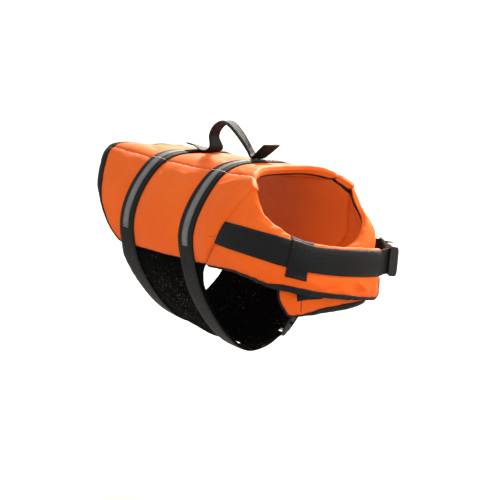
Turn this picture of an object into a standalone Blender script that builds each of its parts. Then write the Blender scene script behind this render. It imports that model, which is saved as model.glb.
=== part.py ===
# Dog life jacket, small size, 25 mm (1 inch) webbing.
# Metres, +Z up, +X towards the head, +Y to the wearer's left.
# Origin: under face of the back pad, on the centreline, below the front girth strap.
#
# The cloth is worked out from two surfaces:
#   torso(x, g)     a tube of cross sections (TORSO); g runs 0 spine, 1 back seam, 2 shoulder,
#                   3 widest, 4 hem, 5 low belly, 6 belly centre; negative g is the left side
#   flap(.., s, v)  a chest flap hung on a plan ring; s runs along it, v runs 0 neck edge,
#                   1 strap top, 2 strap bottom, 3 lower edge
# Every piece takes its points from one of them and moves them along the surface normal.
import bpy
import bmesh
import math
import numpy as np
from mathutils import Matrix, Vector

MM = 0.001

# ------------------------------------------------------------------ driving sizes (m)
WEB_W = 0.025          # webbing width
WEB_T = 0.0016         # webbing thickness
TAPE_W = 0.010         # reflective tape width
TAPE_T = 0.0005
SEAM = 0.0003          # gap kept between pieces that touch
PAD_MID = 0.008        # foam pad with its two cloth faces
PAD_EDGE = 0.0045      # the same at a stitched edge
FLAP_MID = 0.0054
FLAP_EDGE = 0.0036
MESH_T = 0.0015        # belly mesh
BIND_T = 0.0008        # edge binding
STRAP_X = {"front": 0.0, "rear": -0.105}     # centre lines of the two girth straps
TAPE_END_G = {"front": 3.343, "rear": 3.24}   # how far down each tape reaches
MESH_REAR_X = -0.1225
BELLY_GAP_G = 0.06     # half of the slit where the two mesh wings meet
BELLY_BUCKLE_G = 5.22  # the belly buckles sit low on the left wing, centred on this g

# ------------------------------------------------------------------ tables (mm)
# cross sections of the torso, right half, outer face
#   x    z_spine  y_seam z_seam  y_shld z_shld  y_wide z_wide  y_hem z_hem  y_low z_low  z_belly
TORSO = np.array([
    (-200, -2.5,  49.5, -1.8,    63.5, -25,     73,   -60,     71,  -88,    50,  -126,   -158),
    (-150,  1.5,  46.5, -3.0,    64,  -25,      77,   -63,     75,  -90,    53,  -128,   -165),
    (-105,  3.5,  45,   -3.5,    64.5, -23,     80,   -66,     76,  -90.5,  56,  -128,   -170),
    (-50,   5.5,  45,   -2.5,    64.5, -22,     80,   -65,     76,  -90,    58,  -127,   -175),
    (0,     8.0,  45,   -1.0,    65,  -23,      79.5, -63,     74.5, -88,   59,  -126,   -179),
    (40,   10.0,  49.5,  2.5,    68,  -22,      82,   -60,     79,  -86,    61,  -122,   -179),
    (75,   12.5,  53,    6.0,    69,  -20,      82,   -57,     82,  -82,    63,  -118,   -177),
], float) * MM

# right chest flap (lies outside); t = distance along the plan ring from the front centre,
# in = how far inside the ring
#    neck edge        strap top         strap bottom      lower edge
#    t   in  z        t     in   z      t    in  z        t     in  z
FLAP_R = np.array([
    (-99, 22, -6,    -117,  1.5, -38,  -131, 0, -61,    -150,  1, -85),
    (-87, 21, -20,    -94,  1, -39,     -99, 0, -63,    -110,  0, -82),
    (-74, 17, -30.5,  -72,  1, -42,     -76, 0, -66,     -83,  0, -85.5),
    (-56, 10, -38.5,  -56,  1, -45,     -60, 0, -69.5,   -65,  0, -91),
    (-40, 6, -45.5,   -41,  1, -49,     -44, 0, -73,     -45.5, 0, -94.5),
    (-22, 4, -50,     -23.5, .5, -53.5, -25, 0, -77,     -26,  0, -98.5),
    (9,   3, -54,       7,  0, -57,       8, 0, -81.5,     9,  0, -103),
    (37,  3, -56.5,    34,  0, -59.5,    34, 0, -84,      35,  0, -106),
    (60,  3, -59,      59,  0, -62,      59, 0, -86.5,    60,  0, -109),
    (81,  3, -61.5,    81,  0, -64.5,    81, 0, -89,      80,  0, -111),
], float) * MM

# left chest flap (passes underneath, ends with a cut corner)
FLAP_L = np.array([
    (99, 22, -6,      117,  4, -38,     131, 3, -61,     150,  4, -85),
    (87, 18, -19,      94,  3, -39.5,    99, 2, -63,     110,  3, -88),
    (74, 11, -30,      72,  0, -43.5,    76, 1, -68,      83,  1, -100),
    (56, 6, -41,       56,  0, -50,      60, 0, -78,      65,  0, -112),
    (40, 4, -51,       41,  0, -56,      44, 0, -83,      46,  0, -115),
    (22, 3, -57,       23,  0, -61.5,    25, 0, -88,      26,  0, -116.5),
    (-5, 3, -62,       -4,  0, -67,      -4, 0, -92,      -4,  0, -118.5),
    (-28, 3, -66,     -28,  0, -72,     -27, 0, -96,     -26,  0, -120.3),
    (-49, 3, -70,     -49,  0, -76,     -49, 0, -106,    -39,  0, -120.7),
], float) * MM

# plan rings of the flaps: x of the centre, reach to the front, to the right, to the left, squareness
RING_R = (0.050, 0.0800, 0.0830, 0.0940, 2.75)
RING_L = (0.050, 0.0722, 0.0755, 0.0860, 2.75)

# outlines of the torso pieces: g, x (mm)
NECK_LINE = np.array([(0, 44), (0.5, 49), (1, 64.5), (1.45, 80)], float)
FOLD_LINE = np.array([(1.45, 78), (2.5, 58.5), (3.05, 50.5), (4.0, 29)], float)
REAR_LINE = np.array([(0, -200), (1, -198.5), (1.5, -195), (2, -189), (2.5, -179),
                      (3, -158), (3.5, -143), (4, -124)], float)
MESH_FRONT = np.array([(4.0, 28), (4.2, 24), (4.55, 19), (5.0, 15), (5.4, 14), (6.0, 14)], float)
# g of the fold line for v = 0..3 of a flap
FOLD_G = np.array([(0, 1.45), (1, 2.5), (2, 3.05), (3, 4.0)], float)

# carrying handle, side view on the centreline: x, z, width (mm)
HANDLE = np.array([
    (-109, 9.0, 25), (-101, 8.5, 25), (-92, 8.0, 25), (-83, 8.0, 24), (-75.5, 9.4, 21),
    (-72.0, 13.2, 18), (-74.2, 18.0, 15), (-76.8, 23.0, 13), (-74.6, 29.4, 13), (-68.5, 35.6, 13),
    (-59.5, 39.6, 13), (-50.0, 39.3, 13), (-40.0, 35.2, 13), (-30.0, 29.6, 13), (-20.5, 22.9, 12.5),
    (-13.0, 16.8, 12), (-7.5, 12.9, 14.5), (0.0, 12.4, 18), (7.0, 16.8, 19), (14.0, 21.8, 20), (21.0, 27.0, 20),
], float) * MM

# side-release buckle, along its length from the strap bar of the socket
BUCKLE = {"socket_len": 0.030, "socket_w": 0.030, "socket_t": 0.0105,
          "plug_from": 0.0306, "plug_to": 0.0490, "plug_w": 0.0280, "plug_t": 0.0070,
          "slot_w": 0.0262, "slot": 0.0034}

COLOURS = {
    "orange nylon": ((0.76, 0.115, 0.014, 1), 0.62, 0.0),
    "black webbing": ((0.012, 0.012, 0.013, 1), 0.80, 0.0),
    "black binding": ((0.015, 0.016, 0.018, 1), 0.75, 0.0),
    "black mesh": ((0.010, 0.010, 0.010, 1), 0.85, 0.0),
    "reflective tape": ((0.20, 0.20, 0.195, 1), 0.35, 0.2),
    "black plastic": ((0.010, 0.010, 0.010, 1), 0.40, 0.0),
}


# ------------------------------------------------------------------ curves through tables
def rows_at(keys, vals, q):
    """Smooth interpolation between the rows of a table (Catmull-Rom, uneven spacing)."""
    keys = np.asarray(keys, float)
    vals = np.asarray(vals, float)
    q = np.asarray(q, float)
    d = np.diff(keys)
    sl = np.diff(vals, axis=0) / d[:, None]
    m = np.empty_like(vals)
    m[1:-1] = (sl[:-1] * d[1:, None] + sl[1:] * d[:-1, None]) / (d[:-1] + d[1:])[:, None]
    m[0], m[-1] = sl[0], sl[-1]
    i = np.clip(np.searchsorted(keys, q, side="right") - 1, 0, len(d) - 1)
    h = d[i][..., None]
    t = ((q - keys[i]) / d[i])[..., None]
    c = np.clip(t, 0, 1)
    p0, p1, m0, m1 = vals[i], vals[i + 1], m[i] * h, m[i + 1] * h
    r = (2*c**3 - 3*c**2 + 1)*p0 + (c**3 - 2*c**2 + c)*m0 + (3*c**2 - 2*c**3)*p1 + (c**3 - c**2)*m1
    return r + m0 * np.minimum(t, 0) + m1 * np.maximum(t - 1, 0)


def chain(ctrl, g):
    """Curve through control points ctrl[:, 1..K-2], one unit of g from each to the next."""
    n, k, _ = ctrl.shape
    i = np.clip(np.floor(g).astype(int), 0, k - 4) + 1
    t = (g - (i - 1))[:, None]
    a = np.arange(n)
    p, b, c, e = ctrl[a, i - 1], ctrl[a, i], ctrl[a, i + 1], ctrl[a, i + 2]
    d0, d1, d2 = (np.linalg.norm(v, axis=1)[:, None] + 1e-9 for v in (b - p, c - b, e - c))
    mb = ((b - p) / d0 * d1 + (c - b) / d1 * d0) / (d0 + d1) * d1
    mc = ((c - b) / d1 * d2 + (e - c) / d2 * d1) / (d1 + d2) * d1
    return (2*t**3 - 3*t**2 + 1)*b + (t**3 - 2*t**2 + t)*mb + (3*t**2 - 2*t**3)*c + (t**3 - t**2)*mc


def ease(t):
    t = np.clip(t, 0, 1)
    return t * t * (3 - 2 * t)


# ------------------------------------------------------------------ the two cloth surfaces
def torso(x, g):
    x, g = np.broadcast_arrays(np.asarray(x, float), np.asarray(g, float))
    shape = x.shape
    x, g = x.ravel(), g.ravel()
    side = np.where(g < 0, 1.0, -1.0)
    zt, ys, zs, yu, zu, yw, zw, yh, zh, yl, zl, zb = rows_at(TORSO[:, 0], TORSO[:, 1:], x).T
    o = np.zeros_like(zt)
    ctrl = np.stack([np.stack(c, -1) for c in ((-ys, zs), (o, zt), (ys, zs), (yu, zu), (yw, zw),
                                              (yh, zh), (yl, zl), (o, zb), (-yl, zl))], 1)
    p = chain(ctrl, np.abs(g))
    return np.stack([x, side * p[:, 0], p[:, 1]], -1).reshape(shape + (3,))


class Ring:
    """Plan outline of the chest: a squarish arc round the front, straight along both sides."""

    def __init__(self, xc, reach, right, left, square):
        a = np.linspace(-math.pi / 2, math.pi / 2, 721)
        b = np.where(a < 0, right, left)
        r = ((np.abs(np.cos(a)) / reach) ** square + (np.abs(np.sin(a)) / b) ** square) ** (-1 / square)
        p = np.stack([xc + r * np.cos(a), r * np.sin(a)], -1)
        p = np.vstack([[xc - 0.12, -right], p, [xc - 0.12, left]])
        d = np.r_[0, np.cumsum(np.linalg.norm(np.diff(p, axis=0), axis=1))]
        self.t = d - d[1 + 360]
        self.p = p
        tg = np.gradient(p, self.t, axis=0)
        tg /= np.linalg.norm(tg, axis=1)[:, None]
        self.n = np.stack([tg[:, 1], -tg[:, 0]], -1)

    def at(self, t, inside=0.0):
        p = np.stack([np.interp(t, self.t, self.p[:, k]) for k in (0, 1)], -1)
        n = np.stack([np.interp(t, self.t, self.n[:, k]) for k in (0, 1)], -1)
        return p - n * np.asarray(inside)[..., None]


RR, RL = Ring(*RING_R), Ring(*RING_L)


def x_front(g):
    g = np.abs(g)
    return np.where(g < 1.45, rows_at(NECK_LINE[:, 0], NECK_LINE[:, 1:], g)[..., 0],
                    rows_at(FOLD_LINE[:, 0], FOLD_LINE[:, 1:], g)[..., 0]) * MM


def x_rear(g):
    return rows_at(REAR_LINE[:, 0], REAR_LINE[:, 1:], np.abs(g))[..., 0] * MM


def fold_g(v):
    return rows_at(FOLD_G[:, 0], FOLD_G[:, 1:], v)[..., 0]


def flap(side, s, v):
    """side -1: the right flap, side +1: the left one. It grows out of the torso at s = 0."""
    tab, ring = (FLAP_R, RR) if side < 0 else (FLAP_L, RL)
    s, v = np.broadcast_arrays(np.asarray(s, float), np.asarray(v, float))
    shape = s.shape
    s, v = s.ravel(), v.ravel()

    def hung(s):
        r = rows_at(np.arange(len(tab)), tab, s)
        c = [np.concatenate([ring.at(r[:, 3*k], r[:, 3*k + 1]), r[:, 3*k + 2:3*k + 3]], -1) for k in range(4)]
        c = np.stack([2 * c[0] - c[1], *c, 2 * c[3] - c[2]], 1)
        return chain(c, np.clip(v, 0, 3))

    g = fold_g(v)
    root = torso(x_front(g), g)
    if side > 0:
        root = root * np.array([1, -1, 1])
    p = hung(s) + (root - hung(np.zeros_like(s))) * (1 - ease(s / 3.0))[:, None]
    return p.reshape(shape + (3,))


def normal_of(fn, a, b, centre):
    e = 1e-4
    n = np.cross(fn(a + e, b) - fn(a - e, b), fn(a, b + e) - fn(a, b - e))
    n /= np.linalg.norm(n, axis=-1, keepdims=True) + 1e-15
    out = fn(a, b) - centre
    return n * np.where((n * out).sum(-1, keepdims=True) < 0, -1.0, 1.0)


def torso_n(x, g):
    """Point and outward normal of the torso surface."""
    x, g = np.broadcast_arrays(np.asarray(x, float), np.asarray(g, float))
    gs = np.where(np.abs(g) < 2e-4, 2e-4, g)
    p = torso(x, g)
    c = np.stack([x, 0 * x, 0 * x - 0.085], -1)
    return p, normal_of(torso, x, gs, c)


def flap_n(side, s, v):
    """Point and outward normal of a flap; at the fold the normal is the torso's own."""
    s, v = np.broadcast_arrays(np.asarray(s, float), np.asarray(v, float))
    fn = lambda a, b: flap(side, a, b)
    p = fn(s, v)
    sc, vc = np.maximum(s, 2e-4), np.clip(v, 2e-4, 3 - 2e-4)
    centre = np.array([0.03, 0.0, 0.0]) + np.stack([0 * s, 0 * s, p[..., 2] - 0.02], -1)
    n = normal_of(fn, sc, vc, centre)
    g = fold_g(v)
    root = torso_n(x_front(g), g)[1] * (np.array([1, -1, 1]) if side > 0 else 1)
    w = ease(s / 1.0)[..., None]
    n = n * w + root * (1 - w)
    return p, n / np.linalg.norm(n, axis=-1, keepdims=True)


# ------------------------------------------------------------------ building
for ob in list(bpy.data.objects):
    bpy.data.objects.remove(ob, do_unlink=True)

PARTS = bpy.data.collections.new("dog_life_jacket")
CUTTERS = bpy.data.collections.new("cutters")
for col in (PARTS, CUTTERS):
    bpy.context.scene.collection.children.link(col)


def material(name, colour):
    rgba, rough, metal = COLOURS[colour]
    m = bpy.data.materials.new(name)
    m.use_nodes = True
    b = m.node_tree.nodes["Principled BSDF"]
    b.inputs["Base Color"].default_value = rgba
    b.inputs["Roughness"].default_value = rough
    b.inputs["Metallic"].default_value = metal
    m.diffuse_color = rgba
    return m


def add(name, bm, colour, smooth=True):
    me = bpy.data.meshes.new(name)
    bm.to_mesh(me)
    bm.free()
    ob = bpy.data.objects.new(name, me)
    PARTS.objects.link(ob)
    me.materials.append(material(name, colour))
    if smooth:
        me.shade_smooth()
        me.set_sharp_from_angle(angle=math.radians(35))
    return ob


def sheet_bm(grid):
    """Open surface over a grid of points."""
    bm = bmesh.new()
    vs = [[bm.verts.new(Vector(p)) for p in row] for row in grid]
    for i in range(len(vs) - 1):
        for j in range(len(vs[0]) - 1):
            bm.faces.new((vs[i][j], vs[i + 1][j], vs[i + 1][j + 1], vs[i][j + 1]))
    return bm


def face_out(bm, direction):
    """Turn the open surface so that its middle face looks along direction."""
    bm.normal_update()
    bm.faces.ensure_lookup_table()
    if sum(f.normal.dot(Vector(direction(f.calc_center_median()))) for f in bm.faces) < 0:
        bmesh.ops.reverse_faces(bm, faces=bm.faces[:])


def skin(name, grid, thick, colour, direction):
    """Thin cloth: an open surface, thickened away from what it lies on."""
    bm = sheet_bm(grid)
    face_out(bm, direction)
    ob = add(name, bm, colour)
    m = ob.modifiers.new("thickness", "SOLIDIFY")
    m.thickness = thick
    m.offset = 1.0
    m.use_even_offset = False
    return ob


class Pad:
    """Padded cloth: a loft between an outer and an inner grid, thinner at its stitched edges.
    at() reads a point of either face between the grid's rows and columns, moved out by off."""

    def __init__(self, name, outer, normals, depth, colour):
        self.p, self.n, self.d = outer, normals, depth
        self.q = outer - normals * depth
        bm = bmesh.new()
        a = [[bm.verts.new(Vector(p)) for p in row] for row in self.p]
        b = [[bm.verts.new(Vector(p)) for p in row] for row in self.q]
        n, m = len(a), len(a[0])
        for i in range(n - 1):
            for j in range(m - 1):
                bm.faces.new((a[i][j], a[i + 1][j], a[i + 1][j + 1], a[i][j + 1]))
                bm.faces.new((b[i][j + 1], b[i + 1][j + 1], b[i + 1][j], b[i][j]))
        rim = [(i, 0) for i in range(n)] + [(n - 1, j) for j in range(1, m)]
        rim += [(i, m - 1) for i in range(n - 2, -1, -1)] + [(0, j) for j in range(m - 2, 0, -1)]
        for (i, j), (k, l) in zip(rim, rim[1:] + rim[:1]):
            bm.faces.new((a[k][l], a[i][j], b[i][j], b[k][l]))
        bmesh.ops.recalc_face_normals(bm, faces=bm.faces[:])
        self.ob = add(name, bm, colour)

    def at(self, i, j, off=0.0, inner=False):
        """i, j: grid position, fractions allowed."""
        n, m = self.p.shape[:2]
        i0, j0 = int(min(max(math.floor(i), 0), n - 2)), int(min(max(math.floor(j), 0), m - 2))
        u, w = i - i0, j - j0

        def mix(g):
            return (g[i0, j0] * (1 - u) + g[i0 + 1, j0] * u) * (1 - w) + (g[i0, j0 + 1] * (1 - u) + g[i0 + 1, j0 + 1] * u) * w
        nn = mix(self.n)
        nn /= np.linalg.norm(nn)
        return mix(self.q) - nn * off if inner else mix(self.p) + nn * off

    def along(self, i, j, di, dj, dist, inner=False):
        """Grid position dist metres from (i, j) in the direction (di, dj)."""
        face = self.q if inner else self.p
        a, b = face[int(i), int(j)], face[int(i + di), int(j + dj)]
        f = dist / np.linalg.norm(b - a)
        return i + di * f, j + dj * f


def thickness(p, mid, edge, slope=0.012):
    """Pad thickness over a grid: edge at the four sides, mid from slope metres inwards."""
    a = np.zeros(p.shape[:2])
    a[1:] = np.cumsum(np.linalg.norm(np.diff(p, axis=0), axis=-1), axis=0)
    b = np.zeros(p.shape[:2])
    b[:, 1:] = np.cumsum(np.linalg.norm(np.diff(p, axis=1), axis=-1), axis=1)
    d = np.minimum(np.minimum(a, a[-1:] - a), np.minimum(b, b[:, -1:] - b))
    return (edge + (mid - edge) * np.minimum(d / slope, 1.0))[..., None]


def linspace_cols(a, b, n):
    return [a + (b - a) * k / n for k in range(n)]


RR_IN = 0.5 * WEB_W
V_ROWS = np.array([0, 0.34, 0.67, 1.0, 1.5, 2.0, 2.34, 2.67, 3.0])
SIDE_G = np.r_[1.004, 1.15, 1.3, fold_g(V_ROWS)]
SIDE_G[-1] = 4.0 - 0.005
BACK_G = np.r_[-0.996, -0.8, -0.55, -0.28, 0, 0.28, 0.55, 0.8, 0.996]


def torso_cols(g):
    """x of the columns of a torso row; the edges of both straps are columns."""
    r, f = float(x_rear(g)), float(x_front(g))
    xr, xf = STRAP_X["rear"], STRAP_X["front"]
    cols = linspace_cols(r, xr - RR_IN, 4) + [xr - RR_IN]
    cols += linspace_cols(xr + RR_IN, xf - RR_IN, 4) + [xf - RR_IN]
    cols += linspace_cols(xf + RR_IN, f, 3)
    return np.array(cols + [f])


def torso_pad(name, gs, sign, colour, trim_front=0.0):
    gg = np.array([np.full(len(torso_cols(0.0)), g) for g in gs]) * sign
    xx = np.array([torso_cols(g) for g in gs])
    if trim_front:
        xx[:, -1] -= trim_front * (np.abs(gs) > 1.44)
    p, n = torso_n(xx, gg)
    return Pad(name, p, n, thickness(p, PAD_MID, PAD_EDGE), colour)


back = torso_pad("back_panel", BACK_G, 1, "orange nylon")
side_r = torso_pad("side_panel_right", SIDE_G, 1, "orange nylon", 0.0004)
side_l = torso_pad("side_panel_left", SIDE_G, -1, "orange nylon", 0.0004)

# chest flaps
S_R = np.arange(0, 9.01, 0.5)
S_L = np.arange(0, 8.01, 0.5)


def flap_pad(name, side, scol, colour):
    ss, vv = np.meshgrid(scol, V_ROWS, indexing="ij")
    p, n = flap_n(side, ss, vv)
    return Pad(name, p, n, thickness(p, FLAP_MID, FLAP_EDGE), colour)


flap_r = flap_pad("chest_flap_right", -1, S_R, "orange nylon")
flap_l = flap_pad("chest_flap_left", 1, S_L, "orange nylon")

# belly mesh wings: thin panels from the hem to the belly centre
WING_G = np.r_[4.004, 4.25, 4.5, 4.75, 5.0, 5.15, 5.3, 5.45, 5.6, 5.77, 6.0 - BELLY_GAP_G]


def wing(name, sign):
    def cols(g):
        f = float(rows_at(MESH_FRONT[:, 0], MESH_FRONT[:, 1:], g)[0]) * MM
        xr, xf = STRAP_X["rear"], STRAP_X["front"]
        c = [MESH_REAR_X, xr - RR_IN] + linspace_cols(xr + RR_IN, xf - RR_IN, 4) + [xf - RR_IN, xf + RR_IN, f]
        return np.array(c)
    xx = np.array([cols(g) for g in WING_G])
    gg = np.array([np.full(xx.shape[1], g) for g in WING_G]) * sign
    p, n = torso_n(xx, gg)
    return Pad(name, p, n, np.full(p.shape[:2] + (1,), MESH_T), "black mesh")


wing("belly_mesh_right", 1)
wing("belly_mesh_left", -1)

# ------------------------------------------------------------------ webbing and tape
HALF_G = np.r_[0, BACK_G[5:], SIDE_G[1:-1], 4.0, WING_G[1:]]


def wrap(g):
    """g beyond the belly centre comes up the other side."""
    return np.where(g > 6, g - 12, np.where(g < -6, g + 12, g))


def buckle_seat(x0):
    """Frame of a belly buckle on the left wing: g of its two ends and its world matrix."""
    length = BUCKLE["plug_to"]
    lo, hi = 0.0, 0.6
    for _ in range(40):
        dg = 0.5 * (lo + hi)
        a, b = torso(np.array([x0, x0]), -BELLY_BUCKLE_G + np.array([-dg, dg]))
        lo, hi = (dg, hi) if np.linalg.norm(b - a) < length + 0.0012 else (lo, dg)
    gs = np.linspace(-BELLY_BUCKLE_G - dg, -BELLY_BUCKLE_G + dg, 21)
    pts = torso(np.full(21, x0), gs)
    a, b = Vector(pts[0]), Vector(pts[-1])
    along = (b - a).normalized()
    out = Vector((1, 0, 0)).cross(along).normalized()
    if out.z > 0:
        out = -out
    bulge = max((Vector(q) - a).dot(out) for q in pts)
    stand = bulge + BUCKLE["socket_t"] / 2 + 0.0008
    m = Matrix((along, out.cross(along), out)).transposed().to_4x4()
    m.translation = a + out * stand + along * 0.0006
    return gs[0], gs[-1], stand, m


SEATS = {key: buckle_seat(x0) for key, x0 in STRAP_X.items()}


def band(x0, width, gs, lifts):
    xx, gg = np.meshgrid(np.array([x0 - width / 2, x0 + width / 2]), gs, indexing="ij")
    p, n = torso_n(xx, wrap(gg))
    return p + n * np.asarray(lifts)[None, :, None]


for key, x0 in STRAP_X.items():
    # the girth strap: from the plug on the left, over the back, down the right, under the belly to the socket
    g_sock, g_plug, stand, m = SEATS[key]
    gs = np.r_[-HALF_G[:0:-1], HALF_G, 12 - HALF_G[::-1]]
    gs = gs[(gs > g_plug + 0.06) & (gs < 12 + g_sock - 0.06)]
    mid = torso(np.full(len(gs), x0), wrap(gs))
    far = np.minimum(np.cumsum(np.r_[0, np.linalg.norm(np.diff(mid, axis=0), axis=1)]),
                     np.cumsum(np.r_[0, np.linalg.norm(np.diff(mid[::-1], axis=0), axis=1)])[::-1])
    grid = band(x0, WEB_W, gs, SEAM + 0.62 * (stand - WEB_T / 2) * (1 - ease(far / 0.030)))
    ends = []
    for s in (BUCKLE["plug_to"] + 0.0006, -0.0006):
        c = m.translation + m.col[0].to_3d() * s - m.col[2].to_3d() * (WEB_T / 2)
        ends.append(np.array([[np.array(c) + np.array([w * WEB_W / 2, 0, 0])] for w in (-1, 1)]))
    grid = np.concatenate([ends[0], grid, ends[1]], axis=1)
    skin("girth_strap_" + key, grid, WEB_T, "black webbing", lambda q: (0, q.y, q.z + 0.085))
    # the tape on it
    gt = np.r_[-HALF_G[:0:-1], HALF_G]
    gt = gt[np.abs(gt) < TAPE_END_G[key] - 0.08]
    gt = np.r_[-TAPE_END_G[key], gt, TAPE_END_G[key]]
    skin("reflective_tape_" + key, band(x0, TAPE_W, gt, np.full(len(gt), 2.7 * SEAM + WEB_T)), TAPE_T,
         "reflective tape", lambda q: (0, q.y, q.z + 0.085))


def on_flap(side, s, v, off):
    p, n = flap_n(side, s, v)
    return p + n * np.asarray(off)[..., None] if np.ndim(off) else p + n * off


def outward(q):
    return (q.x - 0.02, q.y, 0)


# chest buckle frame: front end of the socket, length axis back along the left side
B_FRONT = Vector((0.1185, 0.0845, -0.0768))
B_LEN = Vector((-0.905, 0.420, 0.050)).normalized()
B_OUT = Vector((0.420, 0.905, 0.0)).normalized()
B_WID = B_OUT.cross(B_LEN).normalized()
B_OUT = B_LEN.cross(B_WID).normalized()

# right chest strap: along the flap, then out to the bar of the socket
ss, vv = np.meshgrid(np.r_[0.06, S_R[1:-1], 8.93], np.array([1.0, 1.5, 2.0]), indexing="ij")
strap = on_flap(-1, ss, vv, SEAM)
half = WEB_W / 2
bar = np.array([[Vector(B_FRONT) - B_LEN * 0.0008 - B_OUT * 0.0008 + B_WID * w * half for w in (-1, 0, 1)]])
if bar[0, 0, 2] < bar[0, 2, 2]:
    bar = bar[:, ::-1]
mid = 0.5 * (strap[-1:] + bar) + np.array([0.0022, -0.0008, 0])
skin("chest_strap_right", np.concatenate([strap, mid, bar]), WEB_T, "black webbing", outward)

# left chest strap: out of the plug, round and forwards again onto the left side panel, sewn there
LEFT_RUN = np.array([(67.5, 105.6, -74.2), (60.5, 102.5, -73.6), (53.0, 95.0, -72.8), (46.0, 87.2, -72.0)]) * MM
LEFT_SEWN = np.array([(38, -71.4), (30, -70.8), (22, -70.2), (15, -69.6)]) * MM


def side_point(x, z):
    """Point just off the left side at height z."""
    gs = np.linspace(2.0, 4.0, 201)
    zz = torso(np.full(201, x), -gs)[:, 2]
    p, n = torso_n(np.array([x]), np.array([-np.interp(-z, -zz, gs)]))
    return p[0] + n[0] * 0.0009


rear_end = B_FRONT + B_LEN * (BUCKLE["plug_to"] + 0.0006)
across = B_WID if B_WID.z > 0 else -B_WID
rows = [[np.array(rear_end + across * w * half) for w in (1, 0, -1)]]
rows += [[c + np.array([0, 0, w * half]) for w in (1, 0, -1)] for c in LEFT_RUN]
rows += [[side_point(x, z + w * half) for w in (1, 0, -1)] for x, z in LEFT_SEWN]
skin("chest_strap_left", rows, WEB_T, "black webbing", lambda q: (0, 1, 0))

# keeper: a short loop over the chest strap, sewn below it and folded over the neck edge
K_S = np.array([3.6, 4.0, 4.5, 4.95])
K_V = [(2.44, SEAM), (2.12, SEAM), (2.0, 2 * SEAM + WEB_T), (1.5, 2 * SEAM + WEB_T),
       (1.0, 2 * SEAM + WEB_T), (0.67, 0.0013), (0.34, 0.0009), (0.03, 0.0008)]
rows = [on_flap(-1, K_S, np.full(4, v), off) for v, off in K_V]
p, n = flap_n(-1, K_S, np.full(4, 0.0))
up = p - flap(-1, K_S, np.full(4, 0.3))
up /= np.linalg.norm(up, axis=-1, keepdims=True)
rows.append(p + n * 0.0006 + up * 0.0007)
rows.append(p - n * (FLAP_EDGE + 0.0007) + up * 0.0007)
p, n = flap_n(-1, K_S, np.full(4, 0.12))
rows.append(p - n * (FLAP_EDGE + 0.0014))
skin("chest_strap_keeper", np.array(rows), 0.0007, "black webbing", outward)

# hook patch on the left flap's face, mostly under the right flap
rows = [[flap_l.at(i, j, SEAM) for j in (4.4, 5.0, 6.0, 6.2)] for i in (12.5, 13, 14, 14.5)]
skin("hook_patch", rows, 0.0006, "black webbing", outward)


# ------------------------------------------------------------------ bindings
def channel(name, rows, thick, colour, centre):
    """A folded strip round an edge: rows of 4 points, outer leg, two corners, inner leg."""
    grid = np.array(rows)
    bm = sheet_bm(grid)
    bm.normal_update()
    bm.faces.ensure_lookup_table()
    f = bm.faces[0]
    if f.normal.dot(f.calc_center_median() - Vector(centre)) < 0:
        bmesh.ops.reverse_faces(bm, faces=bm.faces[:])
    ob = add(name, bm, colour)
    m = ob.modifiers.new("thickness", "SOLIDIFY")
    m.thickness = thick
    m.offset = 1.0
    m.use_even_offset = True
    return ob


def row_list():
    """All torso rows from the left hem over the back to the right hem, with their pads."""
    left = [(side_l, i, -g) for i, g in reversed(list(enumerate(SIDE_G)))]
    mid = [(back, i, g) for i, g in enumerate(BACK_G)]
    right = [(side_r, i, g) for i, g in enumerate(SIDE_G)]
    return left + mid + right


rows = []
for pd, i, g in row_list():
    narrow = float(ease((abs(g) - 2.3) / 1.0))
    jo = pd.along(i, 0, 0, 1, 0.0090 - 0.0055 * narrow)[1]
    ji = pd.along(i, 0, 0, 1, 0.0055 - 0.0020 * narrow, inner=True)[1]
    back_off = np.array([SEAM * (1 + 2 * narrow), 0, 0])
    rows.append([pd.at(i, jo, 1.8 * SEAM), pd.at(i, 0, 1.5 * SEAM) - back_off,
                 pd.at(i, 0, 3 * SEAM, inner=True) - back_off, pd.at(i, ji, 4 * SEAM, inner=True)])
channel("rear_binding", rows, BIND_T, "black binding", (-0.05, 0, -0.085))


def flap_binding(name, pd, last_row, width):
    """Round the lower edge from the fold, the corner, and up the end edge to grid row last_row."""
    n, m = pd.p.shape[:2]
    steps = [(i, m - 1, 0, -1) for i in range(1, n - 1)] + [(n - 1, m - 1, -1, -1)]
    steps += [(n - 1, j, -1, 0) for j in range(m - 2, last_row - 1, -1)]
    rows = []
    for i, j, di, dj in steps:
        diag = math.sqrt(2) if di and dj else 1.0
        a, b = pd.along(i, j, di, dj, width * diag)
        inw = pd.at(a, b) - pd.at(i, j)
        inw /= np.linalg.norm(inw)
        gap = inw * SEAM * diag
        rows.append([pd.at(a, b, 1.2 * SEAM), pd.at(i, j, SEAM) - gap,
                     pd.at(i, j, SEAM, inner=True) - gap, pd.at(a, b, 1.2 * SEAM, inner=True)])
    c = pd.at(1, 4) * np.array([1, 0, 1]) - np.array([0.06, 0, 0])
    channel(name, rows, BIND_T, "black binding", c)


flap_binding("flap_binding_right", flap_r, 7, 0.0042)
flap_binding("flap_binding_left", flap_l, 1, 0.0040)


# neck bindings: strips on the inner face just below the rolled neck edge
def neck_strip(name, spots, off, direction):
    rows = []
    for pd, i, j, di, dj in spots:
        rows.append([pd.at(*pd.along(i, j, di, dj, w, inner=True), off, inner=True) for w in (0.0030, 0.0075)])
    skin(name, rows, BIND_T, "black binding", direction)


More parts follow.
